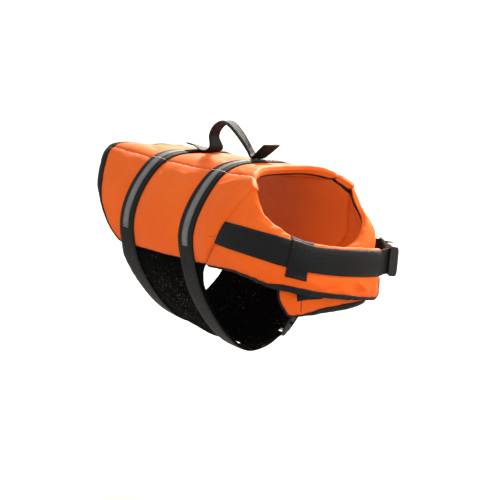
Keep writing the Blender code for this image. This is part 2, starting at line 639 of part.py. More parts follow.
neck_strip("neck_binding_back",
           [(pd, i, pd.p.shape[1] - 1, 0, -1) for pd, i, g in row_list() if abs(g) < 1.44],
           4 * SEAM, lambda q: (0, -q.y, -0.085 - q.z))
neck_strip("neck_binding_left", [(flap_l, i, 0, 0, 1) for i in range(1, len(S_L) - 1)],
           3 * SEAM, lambda q: (0.02 - q.x, -q.y, 0))
neck_strip("neck_binding_right", [(flap_r, i, 0, 0, 1) for i in range(1, len(S_R) - 1)],
           2.6 * SEAM, lambda q: (0.02 - q.x, -q.y, 0))

# ------------------------------------------------------------------ carrying handle
hx = rows_at(np.arange(len(HANDLE)), HANDLE, np.arange(0, len(HANDLE) - 0.99, 0.5))
grid = [[(x, -w / 2, z), (x, w / 2, z)] for x, z, w in hx]
ob = skin("carry_handle", grid, WEB_T, "black webbing", lambda q: (0, 0, 1))
ob.modifiers["thickness"].offset = 0.0


# ------------------------------------------------------------------ side-release buckles
def box(name, lo, hi, bevel=0.0, cutter=False, colour="black plastic"):
    bm = bmesh.new()
    bmesh.ops.create_cube(bm, size=1.0)
    lo, hi = Vector(lo), Vector(hi)
    bmesh.ops.scale(bm, vec=hi - lo, verts=bm.verts)
    bmesh.ops.translate(bm, vec=(lo + hi) / 2, verts=bm.verts)
    if cutter:
        me = bpy.data.meshes.new(name)
        bm.to_mesh(me)
        bm.free()
        ob = bpy.data.objects.new(name, me)
        CUTTERS.objects.link(ob)
        ob.hide_render = True
        ob.display_type = "WIRE"
        return ob
    ob = add(name, bm, colour, smooth=False)
    if bevel:
        m = ob.modifiers.new("round", "BEVEL")
        m.width = bevel
        m.segments = 2
        m.limit_method = "ANGLE"
    return ob


def cut(ob, cutter):
    m = ob.modifiers.new("cut", "BOOLEAN")
    m.operation = "DIFFERENCE"
    m.object = cutter


def buckle(name, frame):
    """frame: world matrix, X along the length from the socket's bar, Y across, Z outwards."""
    b = BUCKLE
    w, t, n = b["socket_w"] / 2, b["socket_t"] / 2, b["socket_len"]
    sock = box(name + "_socket", (0, -w, -t), (n, w, t), 0.0018)
    cuts = [("cavity", (0.0085, -w + 0.0024, -t + 0.0019), (n + 0.01, w - 0.0024, t - 0.0019)),
            ("window", (0.0140, -w - 0.01, -t + 0.0019), (0.0240, w + 0.01, t - 0.0019)),
            ("slot", (0.0022, -b["slot_w"] / 2, -0.02), (0.0022 + b["slot"], b["slot_w"] / 2, 0.02))]
    cutters = [box(f"{name}_{k}", lo, hi, cutter=True) for k, lo, hi in cuts]
    for c in cutters:
        cut(sock, c)
    # plug: base with two strap slots, two sprung arms with catches, one guide in the middle
    hw, ht = b["plug_w"] / 2, b["plug_t"] / 2
    x0, x1 = b["plug_from"], b["plug_to"]
    arm_in, arm_out, catch, tip = 0.0066, 0.0096, 0.0139, 0.0110
    half = [(x1, hw - 0.002), (x1 - 0.002, hw), (x0 + 0.001, hw), (x0, hw - 0.001), (x0, arm_out + 0.0012),
            (0.0236, arm_out), (0.0232, catch), (0.0180, catch), (tip + 0.001, arm_out + 0.0008), (tip, arm_out - 0.001),
            (tip + 0.001, arm_in), (0.0280, arm_in), (x0, arm_in - 0.0014), (x0, 0.0022), (0.0135, 0.0016), (0.0125, 0.0008)]
    outline = half + [(x, -y) for x, y in reversed(half)]
    bm = bmesh.new()
    low = [bm.verts.new((x, y, -ht * 0.72)) for x, y in outline]
    face = bm.faces.new(low)
    ext = bmesh.ops.extrude_face_region(bm, geom=[face])
    bmesh.ops.translate(bm, vec=(0, 0, 2 * ht * 0.72), verts=[v for v in ext["geom"] if isinstance(v, bmesh.types.BMVert)])
    bmesh.ops.recalc_face_normals(bm, faces=bm.faces[:])
    plug = add(name + "_plug", bm, "black plastic", smooth=False)
    for k, x in (("slot_a", x0 + 0.0042), ("slot_b", x0 + 0.0110)):
        c = box(f"{name}_{k}", (x, -b["slot_w"] / 2 + 0.0010, -0.02), (x + b["slot"], b["slot_w"] / 2 - 0.0010, 0.02), cutter=True)
        cutters.append(c)
        cut(plug, c)
    for ob in [sock, plug] + cutters:
        ob.matrix_world = frame
    return sock, plug


def frame_at(origin, length, across, out):
    m = Matrix((length, across, out)).transposed().to_4x4()
    m.translation = origin
    return m


buckle("chest_buckle", frame_at(B_FRONT, B_LEN, B_WID, B_OUT))
for key in STRAP_X:
    buckle("belly_buckle_" + key, SEATS[key][3])
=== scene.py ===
import bpy
import bmesh
import math
import numpy as np
from mathutils import Matrix, Vector
from mathutils.bvhtree import BVHTree


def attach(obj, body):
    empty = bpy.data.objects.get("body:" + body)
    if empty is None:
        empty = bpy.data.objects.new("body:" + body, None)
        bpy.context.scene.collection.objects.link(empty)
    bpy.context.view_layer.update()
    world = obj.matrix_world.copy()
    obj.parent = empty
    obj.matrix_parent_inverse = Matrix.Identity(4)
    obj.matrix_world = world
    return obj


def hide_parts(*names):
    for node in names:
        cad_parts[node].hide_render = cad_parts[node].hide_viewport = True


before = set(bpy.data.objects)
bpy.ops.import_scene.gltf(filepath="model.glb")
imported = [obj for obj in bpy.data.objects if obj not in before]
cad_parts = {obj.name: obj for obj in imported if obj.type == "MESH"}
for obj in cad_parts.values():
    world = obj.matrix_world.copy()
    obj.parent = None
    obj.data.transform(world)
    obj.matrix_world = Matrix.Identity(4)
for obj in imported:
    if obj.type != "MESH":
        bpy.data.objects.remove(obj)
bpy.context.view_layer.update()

MM = 0.001

# =====================================================================================
# The cloth's two surfaces, from the same tables as the construction (mm).
# torso(x, g): g 0 spine, 1 back seam, 2 shoulder, 3 widest, 4 hem, 5 low, 6 belly centre
# flap(side, s, v): s along the chest, v 0 neck edge, 1 strap top, 2 strap bottom, 3 lower edge
# =====================================================================================
WEB_W, WEB_T = 0.025, 0.0016
TAPE_W = 0.010
PAD_T, FLAP_T = 0.008, 0.0054
STRAP_X = {"front": 0.0, "rear": -0.105}
TAPE_END_G = {"front": 3.36, "rear": 3.24}

TORSO = np.array([
    (-200, -2.5, 49.5, -1.8, 63.5, -25, 73, -60, 71, -88, 50, -126, -158),
    (-150, 1.5, 46.5, -3.0, 64, -25, 77, -63, 75, -90, 53, -128, -165),
    (-105, 3.5, 45, -3.5, 64.5, -23, 80, -66, 76, -90.5, 56, -128, -170),
    (-50, 5.5, 45, -2.5, 64.5, -22, 80, -65, 76, -90, 58, -127, -175),
    (0, 8.0, 45, -1.0, 65, -23, 79.5, -63, 74.5, -88, 59, -126, -179),
    (40, 10.0, 49.5, 2.5, 68, -22, 82, -60, 79, -86, 61, -122, -179),
    (75, 12.5, 53, 6.0, 69, -20, 82, -57, 82, -82, 63, -118, -177),
], float) * MM
FLAP_R = np.array([
    (-99, 22, -6, -117, 1.5, -38, -131, 0, -61, -150, 1, -85),
    (-87, 21, -20, -94, 1, -39, -99, 0, -63, -110, 0, -82),
    (-74, 17, -30.5, -72, 1, -42, -76, 0, -66, -83, 0, -85.5),
    (-56, 10, -38.5, -56, 1, -45, -60, 0, -69.5, -65, 0, -91),
    (-40, 6, -45.5, -41, 1, -49, -44, 0, -73, -45.5, 0, -94.5),
    (-22, 4, -50, -23.5, .5, -53.5, -25, 0, -77, -26, 0, -98.5),
    (9, 3, -54, 7, 0, -57, 8, 0, -81.5, 9, 0, -103),
    (37, 3, -56.5, 34, 0, -59.5, 34, 0, -84, 35, 0, -106),
    (60, 3, -59, 59, 0, -62, 59, 0, -86.5, 60, 0, -109),
    (81, 3, -61.5, 81, 0, -64.5, 81, 0, -89, 80, 0, -111),
], float) * MM
FLAP_L = np.array([
    (99, 22, -6, 117, 4, -38, 131, 3, -61, 150, 4, -85),
    (87, 18, -19, 94, 3, -39.5, 99, 2, -63, 110, 3, -88),
    (74, 11, -30, 72, 0, -43.5, 76, 1, -68, 83, 1, -100),
    (56, 6, -41, 56, 0, -50, 60, 0, -78, 65, 0, -112),
    (40, 4, -51, 41, 0, -56, 44, 0, -83, 46, 0, -115),
    (22, 3, -57, 23, 0, -61.5, 25, 0, -88, 26, 0, -116.5),
    (-5, 3, -62, -4, 0, -67, -4, 0, -92, -4, 0, -118.5),
    (-28, 3, -66, -28, 0, -72, -27, 0, -96, -26, 0, -120.3),
    (-49, 3, -70, -49, 0, -76, -49, 0, -106, -39, 0, -120.7),
], float) * MM
RING_R = (0.050, 0.0800, 0.0830, 0.0940, 2.75)
RING_L = (0.050, 0.0722, 0.0755, 0.0860, 2.75)
NECK_LINE = np.array([(0, 44), (0.5, 49), (1, 64.5), (1.45, 80)], float)
FOLD_LINE = np.array([(1.45, 78), (2.5, 58.5), (3.05, 50.5), (4.0, 29)], float)
REAR_LINE = np.array([(0, -200), (1, -198.5), (1.5, -195), (2, -189), (2.5, -179),
                      (3, -158), (3.5, -143), (4, -124)], float)
MESH_FRONT = np.array([(4.0, 28), (4.2, 24), (4.55, 19), (5.0, 15), (5.4, 14), (6.0, 14)], float)
FOLD_G = np.array([(0, 1.45), (1, 2.5), (2, 3.05), (3, 4.0)], float)
HANDLE = np.array([
    (-109, 8.0, 24), (-101, 7.6, 24), (-92, 7.2, 24), (-83, 7.2, 23), (-75.5, 8.8, 20),
    (-72.0, 13.2, 17), (-74.2, 18.0, 14), (-76.8, 23.0, 12.5), (-74.6, 29.4, 12.5), (-68.5, 35.6, 13),
    (-59.5, 39.9, 13), (-50.0, 39.9, 12.5), (-40.0, 35.8, 11.5), (-30.0, 29.8, 10.5), (-20.5, 22.9, 9),
    (-13.0, 16.8, 8), (-7.5, 12.9, 10), (0.0, 12.4, 16), (7.0, 16.8, 18), (14.0, 21.8, 19.5), (21.0, 27.0, 20),
], float) * MM
BUCKLE = {"socket_len": 0.030, "socket_w": 0.030, "socket_t": 0.0105,
          "plug_from": 0.0306, "plug_to": 0.0490, "plug_w": 0.0280, "plug_t": 0.0070,
          "slot_w": 0.0262, "slot": 0.0034}
BELLY_BUCKLE_G = 5.22


def rows_at(keys, vals, q):
    keys = np.asarray(keys, float)
    vals = np.asarray(vals, float)
    q = np.asarray(q, float)
    d = np.diff(keys)
    sl = np.diff(vals, axis=0) / d[:, None]
    m = np.empty_like(vals)
    m[1:-1] = (sl[:-1] * d[1:, None] + sl[1:] * d[:-1, None]) / (d[:-1] + d[1:])[:, None]
    m[0], m[-1] = sl[0], sl[-1]
    i = np.clip(np.searchsorted(keys, q, side="right") - 1, 0, len(d) - 1)
    h = d[i][..., None]
    t = ((q - keys[i]) / d[i])[..., None]
    c = np.clip(t, 0, 1)
    p0, p1, m0, m1 = vals[i], vals[i + 1], m[i] * h, m[i + 1] * h
    r = (2*c**3 - 3*c**2 + 1)*p0 + (c**3 - 2*c**2 + c)*m0 + (3*c**2 - 2*c**3)*p1 + (c**3 - c**2)*m1
    return r + m0 * np.minimum(t, 0) + m1 * np.maximum(t - 1, 0)


def chain(ctrl, g):
    n, k, _ = ctrl.shape
    i = np.clip(np.floor(g).astype(int), 0, k - 4) + 1
    t = (g - (i - 1))[:, None]
    a = np.arange(n)
    p, b, c, e = ctrl[a, i - 1], ctrl[a, i], ctrl[a, i + 1], ctrl[a, i + 2]
    d0, d1, d2 = (np.linalg.norm(v, axis=1)[:, None] + 1e-9 for v in (b - p, c - b, e - c))
    mb = ((b - p) / d0 * d1 + (c - b) / d1 * d0) / (d0 + d1) * d1
    mc = ((c - b) / d1 * d2 + (e - c) / d2 * d1) / (d1 + d2) * d1
    return (2*t**3 - 3*t**2 + 1)*b + (t**3 - 2*t**2 + t)*mb + (3*t**2 - 2*t**3)*c + (t**3 - t**2)*mc


def ease(t):
    t = np.clip(t, 0, 1)
    return t * t * (3 - 2 * t)


def torso(x, g):
    x, g = np.broadcast_arrays(np.asarray(x, float), np.asarray(g, float))
    shape = x.shape
    x, g = x.ravel(), g.ravel()
    side = np.where(g < 0, 1.0, -1.0)
    zt, ys, zs, yu, zu, yw, zw, yh, zh, yl, zl, zb = rows_at(TORSO[:, 0], TORSO[:, 1:], x).T
    o = np.zeros_like(zt)
    ctrl = np.stack([np.stack(c, -1) for c in ((-ys, zs), (o, zt), (ys, zs), (yu, zu), (yw, zw),
                                              (yh, zh), (yl, zl), (o, zb), (-yl, zl))], 1)
    p = chain(ctrl, np.abs(g))
    return np.stack([x, side * p[:, 0], p[:, 1]], -1).reshape(shape + (3,))


class Ring:
    def __init__(self, xc, reach, right, left, square):
        a = np.linspace(-math.pi / 2, math.pi / 2, 721)
        b = np.where(a < 0, right, left)
        r = ((np.abs(np.cos(a)) / reach) ** square + (np.abs(np.sin(a)) / b) ** square) ** (-1 / square)
        p = np.stack([xc + r * np.cos(a), r * np.sin(a)], -1)
        p = np.vstack([[xc - 0.12, -right], p, [xc - 0.12, left]])
        d = np.r_[0, np.cumsum(np.linalg.norm(np.diff(p, axis=0), axis=1))]
        self.t = d - d[1 + 360]
        self.p = p
        tg = np.gradient(p, self.t, axis=0)
        tg /= np.linalg.norm(tg, axis=1)[:, None]
        self.n = np.stack([tg[:, 1], -tg[:, 0]], -1)

    def at(self, t, inside=0.0):
        p = np.stack([np.interp(t, self.t, self.p[:, k]) for k in (0, 1)], -1)
        n = np.stack([np.interp(t, self.t, self.n[:, k]) for k in (0, 1)], -1)
        return p - n * np.asarray(inside)[..., None]


RR, RL = Ring(*RING_R), Ring(*RING_L)


def x_front(g):
    g = np.abs(g)
    return np.where(g < 1.45, rows_at(NECK_LINE[:, 0], NECK_LINE[:, 1:], g)[..., 0],
                    rows_at(FOLD_LINE[:, 0], FOLD_LINE[:, 1:], g)[..., 0]) * MM


def x_rear(g):
    return rows_at(REAR_LINE[:, 0], REAR_LINE[:, 1:], np.abs(g))[..., 0] * MM


def fold_g(v):
    return rows_at(FOLD_G[:, 0], FOLD_G[:, 1:], v)[..., 0]


def flap(side, s, v):
    tab, ring = (FLAP_R, RR) if side < 0 else (FLAP_L, RL)
    s, v = np.broadcast_arrays(np.asarray(s, float), np.asarray(v, float))
    shape = s.shape
    s, v = s.ravel(), v.ravel()

    def hung(s):
        r = rows_at(np.arange(len(tab)), tab, s)
        c = [np.concatenate([ring.at(r[:, 3*k], r[:, 3*k + 1]), r[:, 3*k + 2:3*k + 3]], -1) for k in range(4)]
        c = np.stack([2 * c[0] - c[1], *c, 2 * c[3] - c[2]], 1)
        return chain(c, np.clip(v, 0, 3))

    g = fold_g(v)
    root = torso(x_front(g), g)
    if side > 0:
        root = root * np.array([1, -1, 1])
    p = hung(s) + (root - hung(np.zeros_like(s))) * (1 - ease(s / 3.0))[:, None]
    return p.reshape(shape + (3,))


def normal_of(fn, a, b, centre):
    e = 1e-4
    n = np.cross(fn(a + e, b) - fn(a - e, b), fn(a, b + e) - fn(a, b - e))
    n /= np.linalg.norm(n, axis=-1, keepdims=True) + 1e-15
    out = fn(a, b) - centre
    return n * np.where((n * out).sum(-1, keepdims=True) < 0, -1.0, 1.0)


def torso_n(x, g):
    x, g = np.broadcast_arrays(np.asarray(x, float), np.asarray(g, float))
    gs = np.where(np.abs(g) < 2e-4, 2e-4, g)
    p = torso(x, g)
    c = np.stack([x, 0 * x, 0 * x - 0.085], -1)
    return p, normal_of(torso, x, gs, c)


def flap_n(side, s, v):
    s, v = np.broadcast_arrays(np.asarray(s, float), np.asarray(v, float))
    p = flap(side, s, v)
    top = 9.0 if side < 0 else 8.0
    sc, vc = np.clip(s, 2e-4, top - 2e-4), np.clip(v, 2e-4, 3 - 2e-4)
    centre = np.array([0.03, 0.0, 0.0]) + np.stack([0 * s, 0 * s, p[..., 2] - 0.02], -1)
    n = normal_of(lambda a, b: flap(side, a, b), sc, vc, centre)
    g = fold_g(v)
    root = torso_n(x_front(g), g)[1] * (np.array([1, -1, 1]) if side > 0 else 1)
    w = ease(s / 1.0)[..., None]
    n = n * w + root * (1 - w)
    return p, n / np.linalg.norm(n, axis=-1, keepdims=True)


def wrap(g):
    return np.where(g > 6, g - 12, np.where(g < -6, g + 12, g))


# arc length round the torso at the middle of the back, and its inverse
_gg = np.linspace(0, 6, 601)
_pp = torso(np.full(601, -0.05), _gg)
_ll = np.r_[0, np.cumsum(np.linalg.norm(np.diff(_pp, axis=0), axis=1))]


def arc_of(g):
    return np.sign(g) * np.interp(np.abs(g), _gg, _ll)


def g_of(l):
    return np.sign(l) * np.interp(np.abs(l), _ll, _gg)


# =====================================================================================
# Mesh helpers
# =====================================================================================
def unit(v):
    return v / (np.linalg.norm(v, axis=-1, keepdims=True) + 1e-12)


def make(name, verts, quads, tris=None, uv=None, attrs=None, smooth=True, sharp=None):
    verts = np.asarray(verts, np.float32).reshape(-1, 3)
    quads = np.asarray(quads, np.int32).reshape(-1, 4)
    tris = np.zeros((0, 3), np.int32) if tris is None else np.asarray(tris, np.int32).reshape(-1, 3)
    me = bpy.data.meshes.new(name)
    me.vertices.add(len(verts))
    me.vertices.foreach_set("co", verts.ravel())
    loops = np.concatenate([quads.ravel(), tris.ravel()])
    me.loops.add(len(loops))
    me.loops.foreach_set("vertex_index", loops)
    starts = np.concatenate([np.arange(len(quads)) * 4, len(quads) * 4 + np.arange(len(tris)) * 3])
    me.polygons.add(len(quads) + len(tris))
    me.polygons.foreach_set("loop_start", starts.astype(np.int32))
    me.update(calc_edges=True)
    me.validate()
    if uv is not None:
        layer = me.uv_layers.new(name="cloth")
        uv = np.asarray(uv, np.float32).reshape(-1, 2)
        idx = np.empty(len(me.loops), np.int32)
        me.loops.foreach_get("vertex_index", idx)
        layer.uv.foreach_set("vector", uv[idx].ravel())
    for key, val in (attrs or {}).items():
        a = me.attributes.new(key, "FLOAT", "POINT")
        a.data.foreach_set("value", np.asarray(val, np.float32).ravel())
    ob = bpy.data.objects.new(name, me)
    bpy.context.scene.collection.objects.link(ob)
    if smooth:
        me.shade_smooth()
        if sharp:
            me.set_sharp_from_angle(angle=math.radians(sharp))
    return ob


def grid_quads(n, m, base=0, flip=False):
    i, j = np.meshgrid(np.arange(n - 1), np.arange(m - 1), indexing="ij")
    a = base + i * m + j
    q = np.stack([a, a + m, a + m + 1, a + 1], -1).reshape(-1, 4)
    return q[:, ::-1] if flip else q


def face_outwards(ob, outward_point_fn=None):
    bm = bmesh.new()
    bm.from_mesh(ob.data)
    bmesh.ops.recalc_face_normals(bm, faces=bm.faces[:])
    if bm.calc_volume(signed=True) < 0:
        bmesh.ops.reverse_faces(bm, faces=bm.faces[:])
    bm.to_mesh(ob.data)
    bm.free()
    return ob


def pad_mesh(name, outer, inner, uv, bulge=0.35, attrs=None):
    """Closed mesh between two grids, with a rounded rim."""
    n, m = outer.shape[:2]
    rim = [(i, 0) for i in range(n)] + [(n - 1, j) for j in range(1, m)]
    rim += [(i, m - 1) for i in range(n - 2, -1, -1)] + [(0, j) for j in range(m - 2, 0, -1)]
    ri, rj = np.array(rim).T
    O, I = outer[ri, rj], inner[ri, rj]
    ii = np.clip(ri, 1, n - 2)
    jj = np.clip(rj, 1, m - 2)
    away = unit(O - outer[ii, jj])
    t = np.linalg.norm(O - I, axis=1, keepdims=True)
    away = away - unit(O - I) * (away * unit(O - I)).sum(-1, keepdims=True)
    away = unit(away)
    mids = [O * (1 - w) + I * w + away * t * bulge * math.sin(math.pi * w) for w in (0.25, 0.5, 0.75)]
    verts = np.concatenate([outer.reshape(-1, 3), inner.reshape(-1, 3)] + mids)
    N = n * m
    quads = [grid_quads(n, m), grid_quads(n, m, N, flip=True)]
    k = len(rim)
    rings = [ri * m + rj] + [2 * N + k * q + np.arange(k) for q in range(3)] + [N + ri * m + rj]
    for a, b in zip(rings, rings[1:]):
        quads.append(np.stack([np.roll(a, -1), a, b, np.roll(b, -1)], -1))
    uvs = np.concatenate([uv.reshape(-1, 2), uv.reshape(-1, 2)] + [uv[ri, rj]] * 3)
    full = {}
    for key, val in (attrs or {}).items():
        full[key] = np.concatenate([val.ravel(), val.ravel()] + [val[ri, rj]] * 3)
    ob = make(name, verts, np.concatenate(quads), uv=uvs, attrs=full)
    return face_outwards(ob)


def loft(name, rings, uv=None, cap=True, attrs=None, sharp=None):
    """rings[k, q, 3]: closed sections along a length; ends are capped with a fan."""
    k, q = rings.shape[:2]
    a = np.arange(k - 1)[:, None] * q + np.arange(q)[None]
    b = np.arange(k - 1)[:, None] * q + (np.arange(q)[None] + 1) % q
    quads = np.stack([a, b, b + q, a + q], -1).reshape(-1, 4)
    verts = rings.reshape(-1, 3)
    tris = None
    uvs = None if uv is None else uv.reshape(-1, 2)
    if cap:
        c0, c1 = len(verts), len(verts) + 1
        verts = np.concatenate([verts, rings[:1].mean(1), rings[-1:].mean(1)])
        if uv is not None:
            uvs = np.concatenate([uvs, uv[:1].mean(1), uv[-1:].mean(1)])
        j = np.arange(q)
        jn = (j + 1) % q
        tris = np.concatenate([np.stack([jn, j, np.full(q, c0)], -1),
                               np.stack([(k - 1) * q + j, (k - 1) * q + jn, np.full(q, c1)], -1)])
        if attrs:
            attrs = {key: np.concatenate([v.ravel(), [0, 0]]) for key, v in attrs.items()}
    ob = make(name, verts, quads, tris, uv=uvs, attrs=attrs, sharp=sharp)
    return face_outwards(ob)


def resample(points, step, *others):
    """Even steps along a polyline of points, others interpolated alongside."""
    d = np.r_[0, np.cumsum(np.linalg.norm(np.diff(points, axis=0), axis=1))]
    n = max(2, int(round(d[-1] / step)) + 1)
    q = np.linspace(0, d[-1], n)
    out = [np.stack([np.interp(q, d, points[:, c]) for c in range(3)], -1)]
    for o in others:
        o = np.asarray(o)
        if o.ndim == 1:
            out.append(np.interp(q, d, o))
        else:
            out.append(np.stack([np.interp(q, d, o[:, c]) for c in range(o.shape[1])], -1))
    return out if others else out[0]


# one thread stitch: a short six-sided bead, its ends dipping into the cloth
def stitch_mesh(name, spots, radius, sink=0.35):
    """spots: (centre, along, up, length) for each stitch."""
    prof = [(-0.5, 0.25), (-0.38, 0.8), (0, 1.0), (0.38, 0.8), (0.5, 0.25)]
    verts, quads, tris = [], [], []
    base = 0
    for c, a, u, length in spots:
        a, u = unit(a), unit(u - unit(a) * (u * unit(a)).sum())
        b = np.cross(a, u)
        for x, r in prof:
            drop = -sink * radius * (2 * abs(x)) ** 2 * 2
            for q in range(6):
                t = math.pi / 3 * q
                verts.append(c + a * x * length + u * (math.cos(t) * r * radius * 0.8 + drop) + b * math.sin(t) * r * radius)
        for i in range(4):
            for q in range(6):
                quads.append((base + 6*i + q, base + 6*i + (q + 1) % 6, base + 6*i + 6 + (q + 1) % 6, base + 6*i + 6 + q))
        for q in range(1, 5):
            tris.append((base, base + q, base + q + 1))
            tris.append((base + 24, base + 24 + q + 1, base + 24 + q))
        base += 30
    ob = make(name, np.array(verts), np.array(quads), np.array(tris))
    bm = bmesh.new()
    bm.from_mesh(ob.data)
    bmesh.ops.recalc_face_normals(bm, faces=bm.faces[:])
    bm.to_mesh(ob.data)
    bm.free()
    return ob


def stitch_line(points, normals, pitch, length, rng, jitter=0.04):
    """Stitch spots along a line."""
    p, n = resample(points, pitch, normals)
    out = []
    for i in range(len(p) - 1):
        a = p[i + 1] - p[i]
        mid = (p[i] + p[i + 1]) / 2
        nn = unit(n[i] + n[i + 1])
        side = np.cross(unit(a), nn)
        out.append((mid + side * rng.normal(0, 0.00008), a + side * rng.normal(0, jitter) * np.linalg.norm(a), nn,
                    length * (1 + rng.normal(0, 0.05))))
    return out


# =====================================================================================
# Cloth form: how the pads puff between their seams and straps
# =====================================================================================
def roll(d, depth, reach):
    """Fall of a stitched or folded edge: a quarter round over reach metres."""
    q = 1 - np.clip(d / reach, 0, 1)
    return -depth * (1 - np.sqrt(np.maximum(1 - q * q, 0)))


def swell(d, reach):
    return 1 - np.exp(-np.maximum(d, 0) / reach)


def pucker(along, d, amp, pitch, reach, seed):
    """Small gathers across a seam: uneven in spacing and depth, dying out with distance d."""
    r = np.random.default_rng(seed)
    p = r.uniform(0, 6.28, 5)
    w = along / pitch + 0.45 * np.sin(along / pitch * 0.83 + p[0]) + 0.3 * np.sin(along / pitch * 0.31 + p[1])
    h = np.sin(2 * math.pi * w + p[2]) * (0.55 + 0.45 * np.sin(along / pitch * 0.9 + p[3]) * np.sin(along / pitch * 0.37 + p[4]))
    return amp * h * np.exp(-np.maximum(d, 0) / reach)


def undulate(u, v, amp, size, seed, n=7):
    """Broad unevenness of worn cloth: a few plane waves, wavelengths about size."""
    r = np.random.default_rng(seed)
    h = 0
    for _ in range(n):
        a = r.uniform(0, 2 * math.pi)
        k = 2 * math.pi / (size * r.uniform(0.6, 1.7))
        h = h + np.sin(k * (u * math.cos(a) + v * math.sin(a)) + r.uniform(0, 6.28)) * r.uniform(0.5, 1)
    return amp * h / math.sqrt(n)


def creases(u, v, table):
    """Troughs (negative) and ridges: u0, v0, u1, v1 (mm), bend, height, half width (mm)."""
    h = np.zeros_like(u)
    um, vm = u / MM, v / MM
    for u0, v0, u1, v1, bend, height, wide in table:
        du, dv = u1 - u0, v1 - v0
        L = math.hypot(du, dv)
        t = ((um - u0) * du + (vm - v0) * dv) / (L * L)
        off = ((um - u0) * -dv + (vm - v0) * du) / L - bend * 4 * t * (1 - t)
        tc = np.clip(t, 0, 1)
        fade = np.sin(math.pi * np.clip(0.5 * (0.12 + tc * 0.88) + 0.0, 0, 1) * 1.0) ** 0.5
        ends = ease(t / 0.22 + 0.15) * ease((1 - t) / 0.30 + 0.05)
        h += height * MM * np.exp(-(off / wide) ** 2) * ends * fade
    return h


def edge_lengths(P):
    """Metric distance of every grid point to the four sides of its grid."""
    a = np.zeros(P.shape[:2])
    a[1:] = np.cumsum(np.linalg.norm(np.diff(P, axis=0), axis=-1), axis=0)
    b = np.zeros(P.shape[:2])
    b[:, 1:] = np.cumsum(np.linalg.norm(np.diff(P, axis=1), axis=-1), axis=1)
    return a, a[-1:] - a, b, b[:, -1:] - b


def laid(name, grid, nrm, lift, thick, bulge=0.34):
    """A webbing over a grid of points [along, across]; lift above them, thick."""
    k, q = grid.shape[:2]
    nrm = unit(nrm)
    lift = np.broadcast_to(np.asarray(lift, float), (k,))[:, None, None]
    across = edge_lengths(grid)[2]
    across = across - across[:, -1:] / 2
    along = np.r_[0, np.cumsum(np.linalg.norm(np.diff(grid[:, q // 2], axis=0), axis=1))]
    uv = np.stack([across, np.repeat(along[:, None], q, 1)], -1)
    edge = 1 - 0.16 * np.abs(np.linspace(-1, 1, q)) ** 5
    ob = pad_mesh(name, grid + nrm * (lift + thick * edge[None, :, None]), grid + nrm * lift, uv, bulge=bulge)
    ob["flat_len"] = float(along[-1])
    return ob


def dense_ends(n, k=0.07):
    t = np.linspace(0, 1, n)
    return t - k * np.sin(2 * math.pi * t)


PIECES = {}


def keep(ob, material, replaces=()):
    ob.data.materials.clear()
    ob.data.materials.append(material)
    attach(ob, "root")
    if replaces:
        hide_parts(*replaces)
    PIECES[ob.name] = ob
    return ob


# =====================================================================================
# Materials
# =====================================================================================
class Nodes:
    def __init__(self, name):
        self.mat = bpy.data.materials.new(name)
        self.mat.use_nodes = True
        self.nt = self.mat.node_tree
        self.b = self.nt.nodes["Principled BSDF"]

    def n(self, kind, **kw):
        node = self.nt.nodes.new(kind)
        for k, v in kw.items():
            setattr(node, k, v)
        return node

    def link(self, a, b):
        self.nt.links.new(a, b)

    def put(self, socket, value):
        if isinstance(value, bpy.types.NodeSocket):
            self.link(value, socket)
        else:
            socket.default_value = value

    def math(self, op, a, b=None, c=None, clamp=False):
        node = self.n("ShaderNodeMath", operation=op, use_clamp=clamp)
        for i, v in enumerate((a, b, c)):
            if v is not None:
                self.put(node.inputs[i], v)
        return node.outputs[0]

    def uv(self):
        node = self.n("ShaderNodeUVMap", uv_map="cloth")
        s = self.n("ShaderNodeSeparateXYZ")
        self.link(node.outputs[0], s.inputs[0])
        return node.outputs[0], s.outputs[0], s.outputs[1]

    def obj(self):
        return self.n("ShaderNodeTexCoord").outputs["Object"]

    def noise(self, vec, scale, detail=3, rough=0.55, lac=2.0):
        node = self.n("ShaderNodeTexNoise")
        self.link(vec, node.inputs["Vector"])
        node.inputs["Scale"].default_value = scale
        node.inputs["Detail"].default_value = detail
        node.inputs["Roughness"].default_value = rough
        node.inputs["Lacunarity"].default_value = lac
        return node.outputs["Fac"]

    def ramp(self, fac, stops):
        node = self.n("ShaderNodeValToRGB")
        self.link(fac, node.inputs[0])
        els = node.color_ramp.elements
        while len(els) < len(stops):
            els.new(0.5)
        for e, (p, c) in zip(els, stops):
            e.position = p
            e.color = (*c, 1) if len(c) == 3 else c
        return node.outputs[0]

    def mix(self, fac, a, b, mode="MIX"):
        node = self.n("ShaderNodeMix", data_type="RGBA", blend_type=mode)
        self.put(node.inputs[0], fac)
        self.put(node.inputs[6], a if isinstance(a, bpy.types.NodeSocket) else (*a, 1))
        self.put(node.inputs[7], b if isinstance(b, bpy.types.NodeSocket) else (*b, 1))
        return node.outputs[2]

    def span(self, v, a, b, c, d):
        node = self.n("ShaderNodeMapRange")
        self.link(v, node.inputs[0])
        for i, x in enumerate((a, b, c, d)):
            node.inputs[1 + i].default_value = x
        return node.outputs[0]

    def bump(self, height, strength, distance, normal=None):
        node = self.n("ShaderNodeBump")
        node.inputs["Strength"].default_value = strength
        node.inputs["Distance"].default_value = distance
        self.link(height, node.inputs["Height"])
        if normal is not None:
            self.link(normal, node.inputs["Normal"])
        return node.outputs[0]

    def attr(self, name):
        return self.n("ShaderNodeAttribute", attribute_name=name).outputs["Fac"]


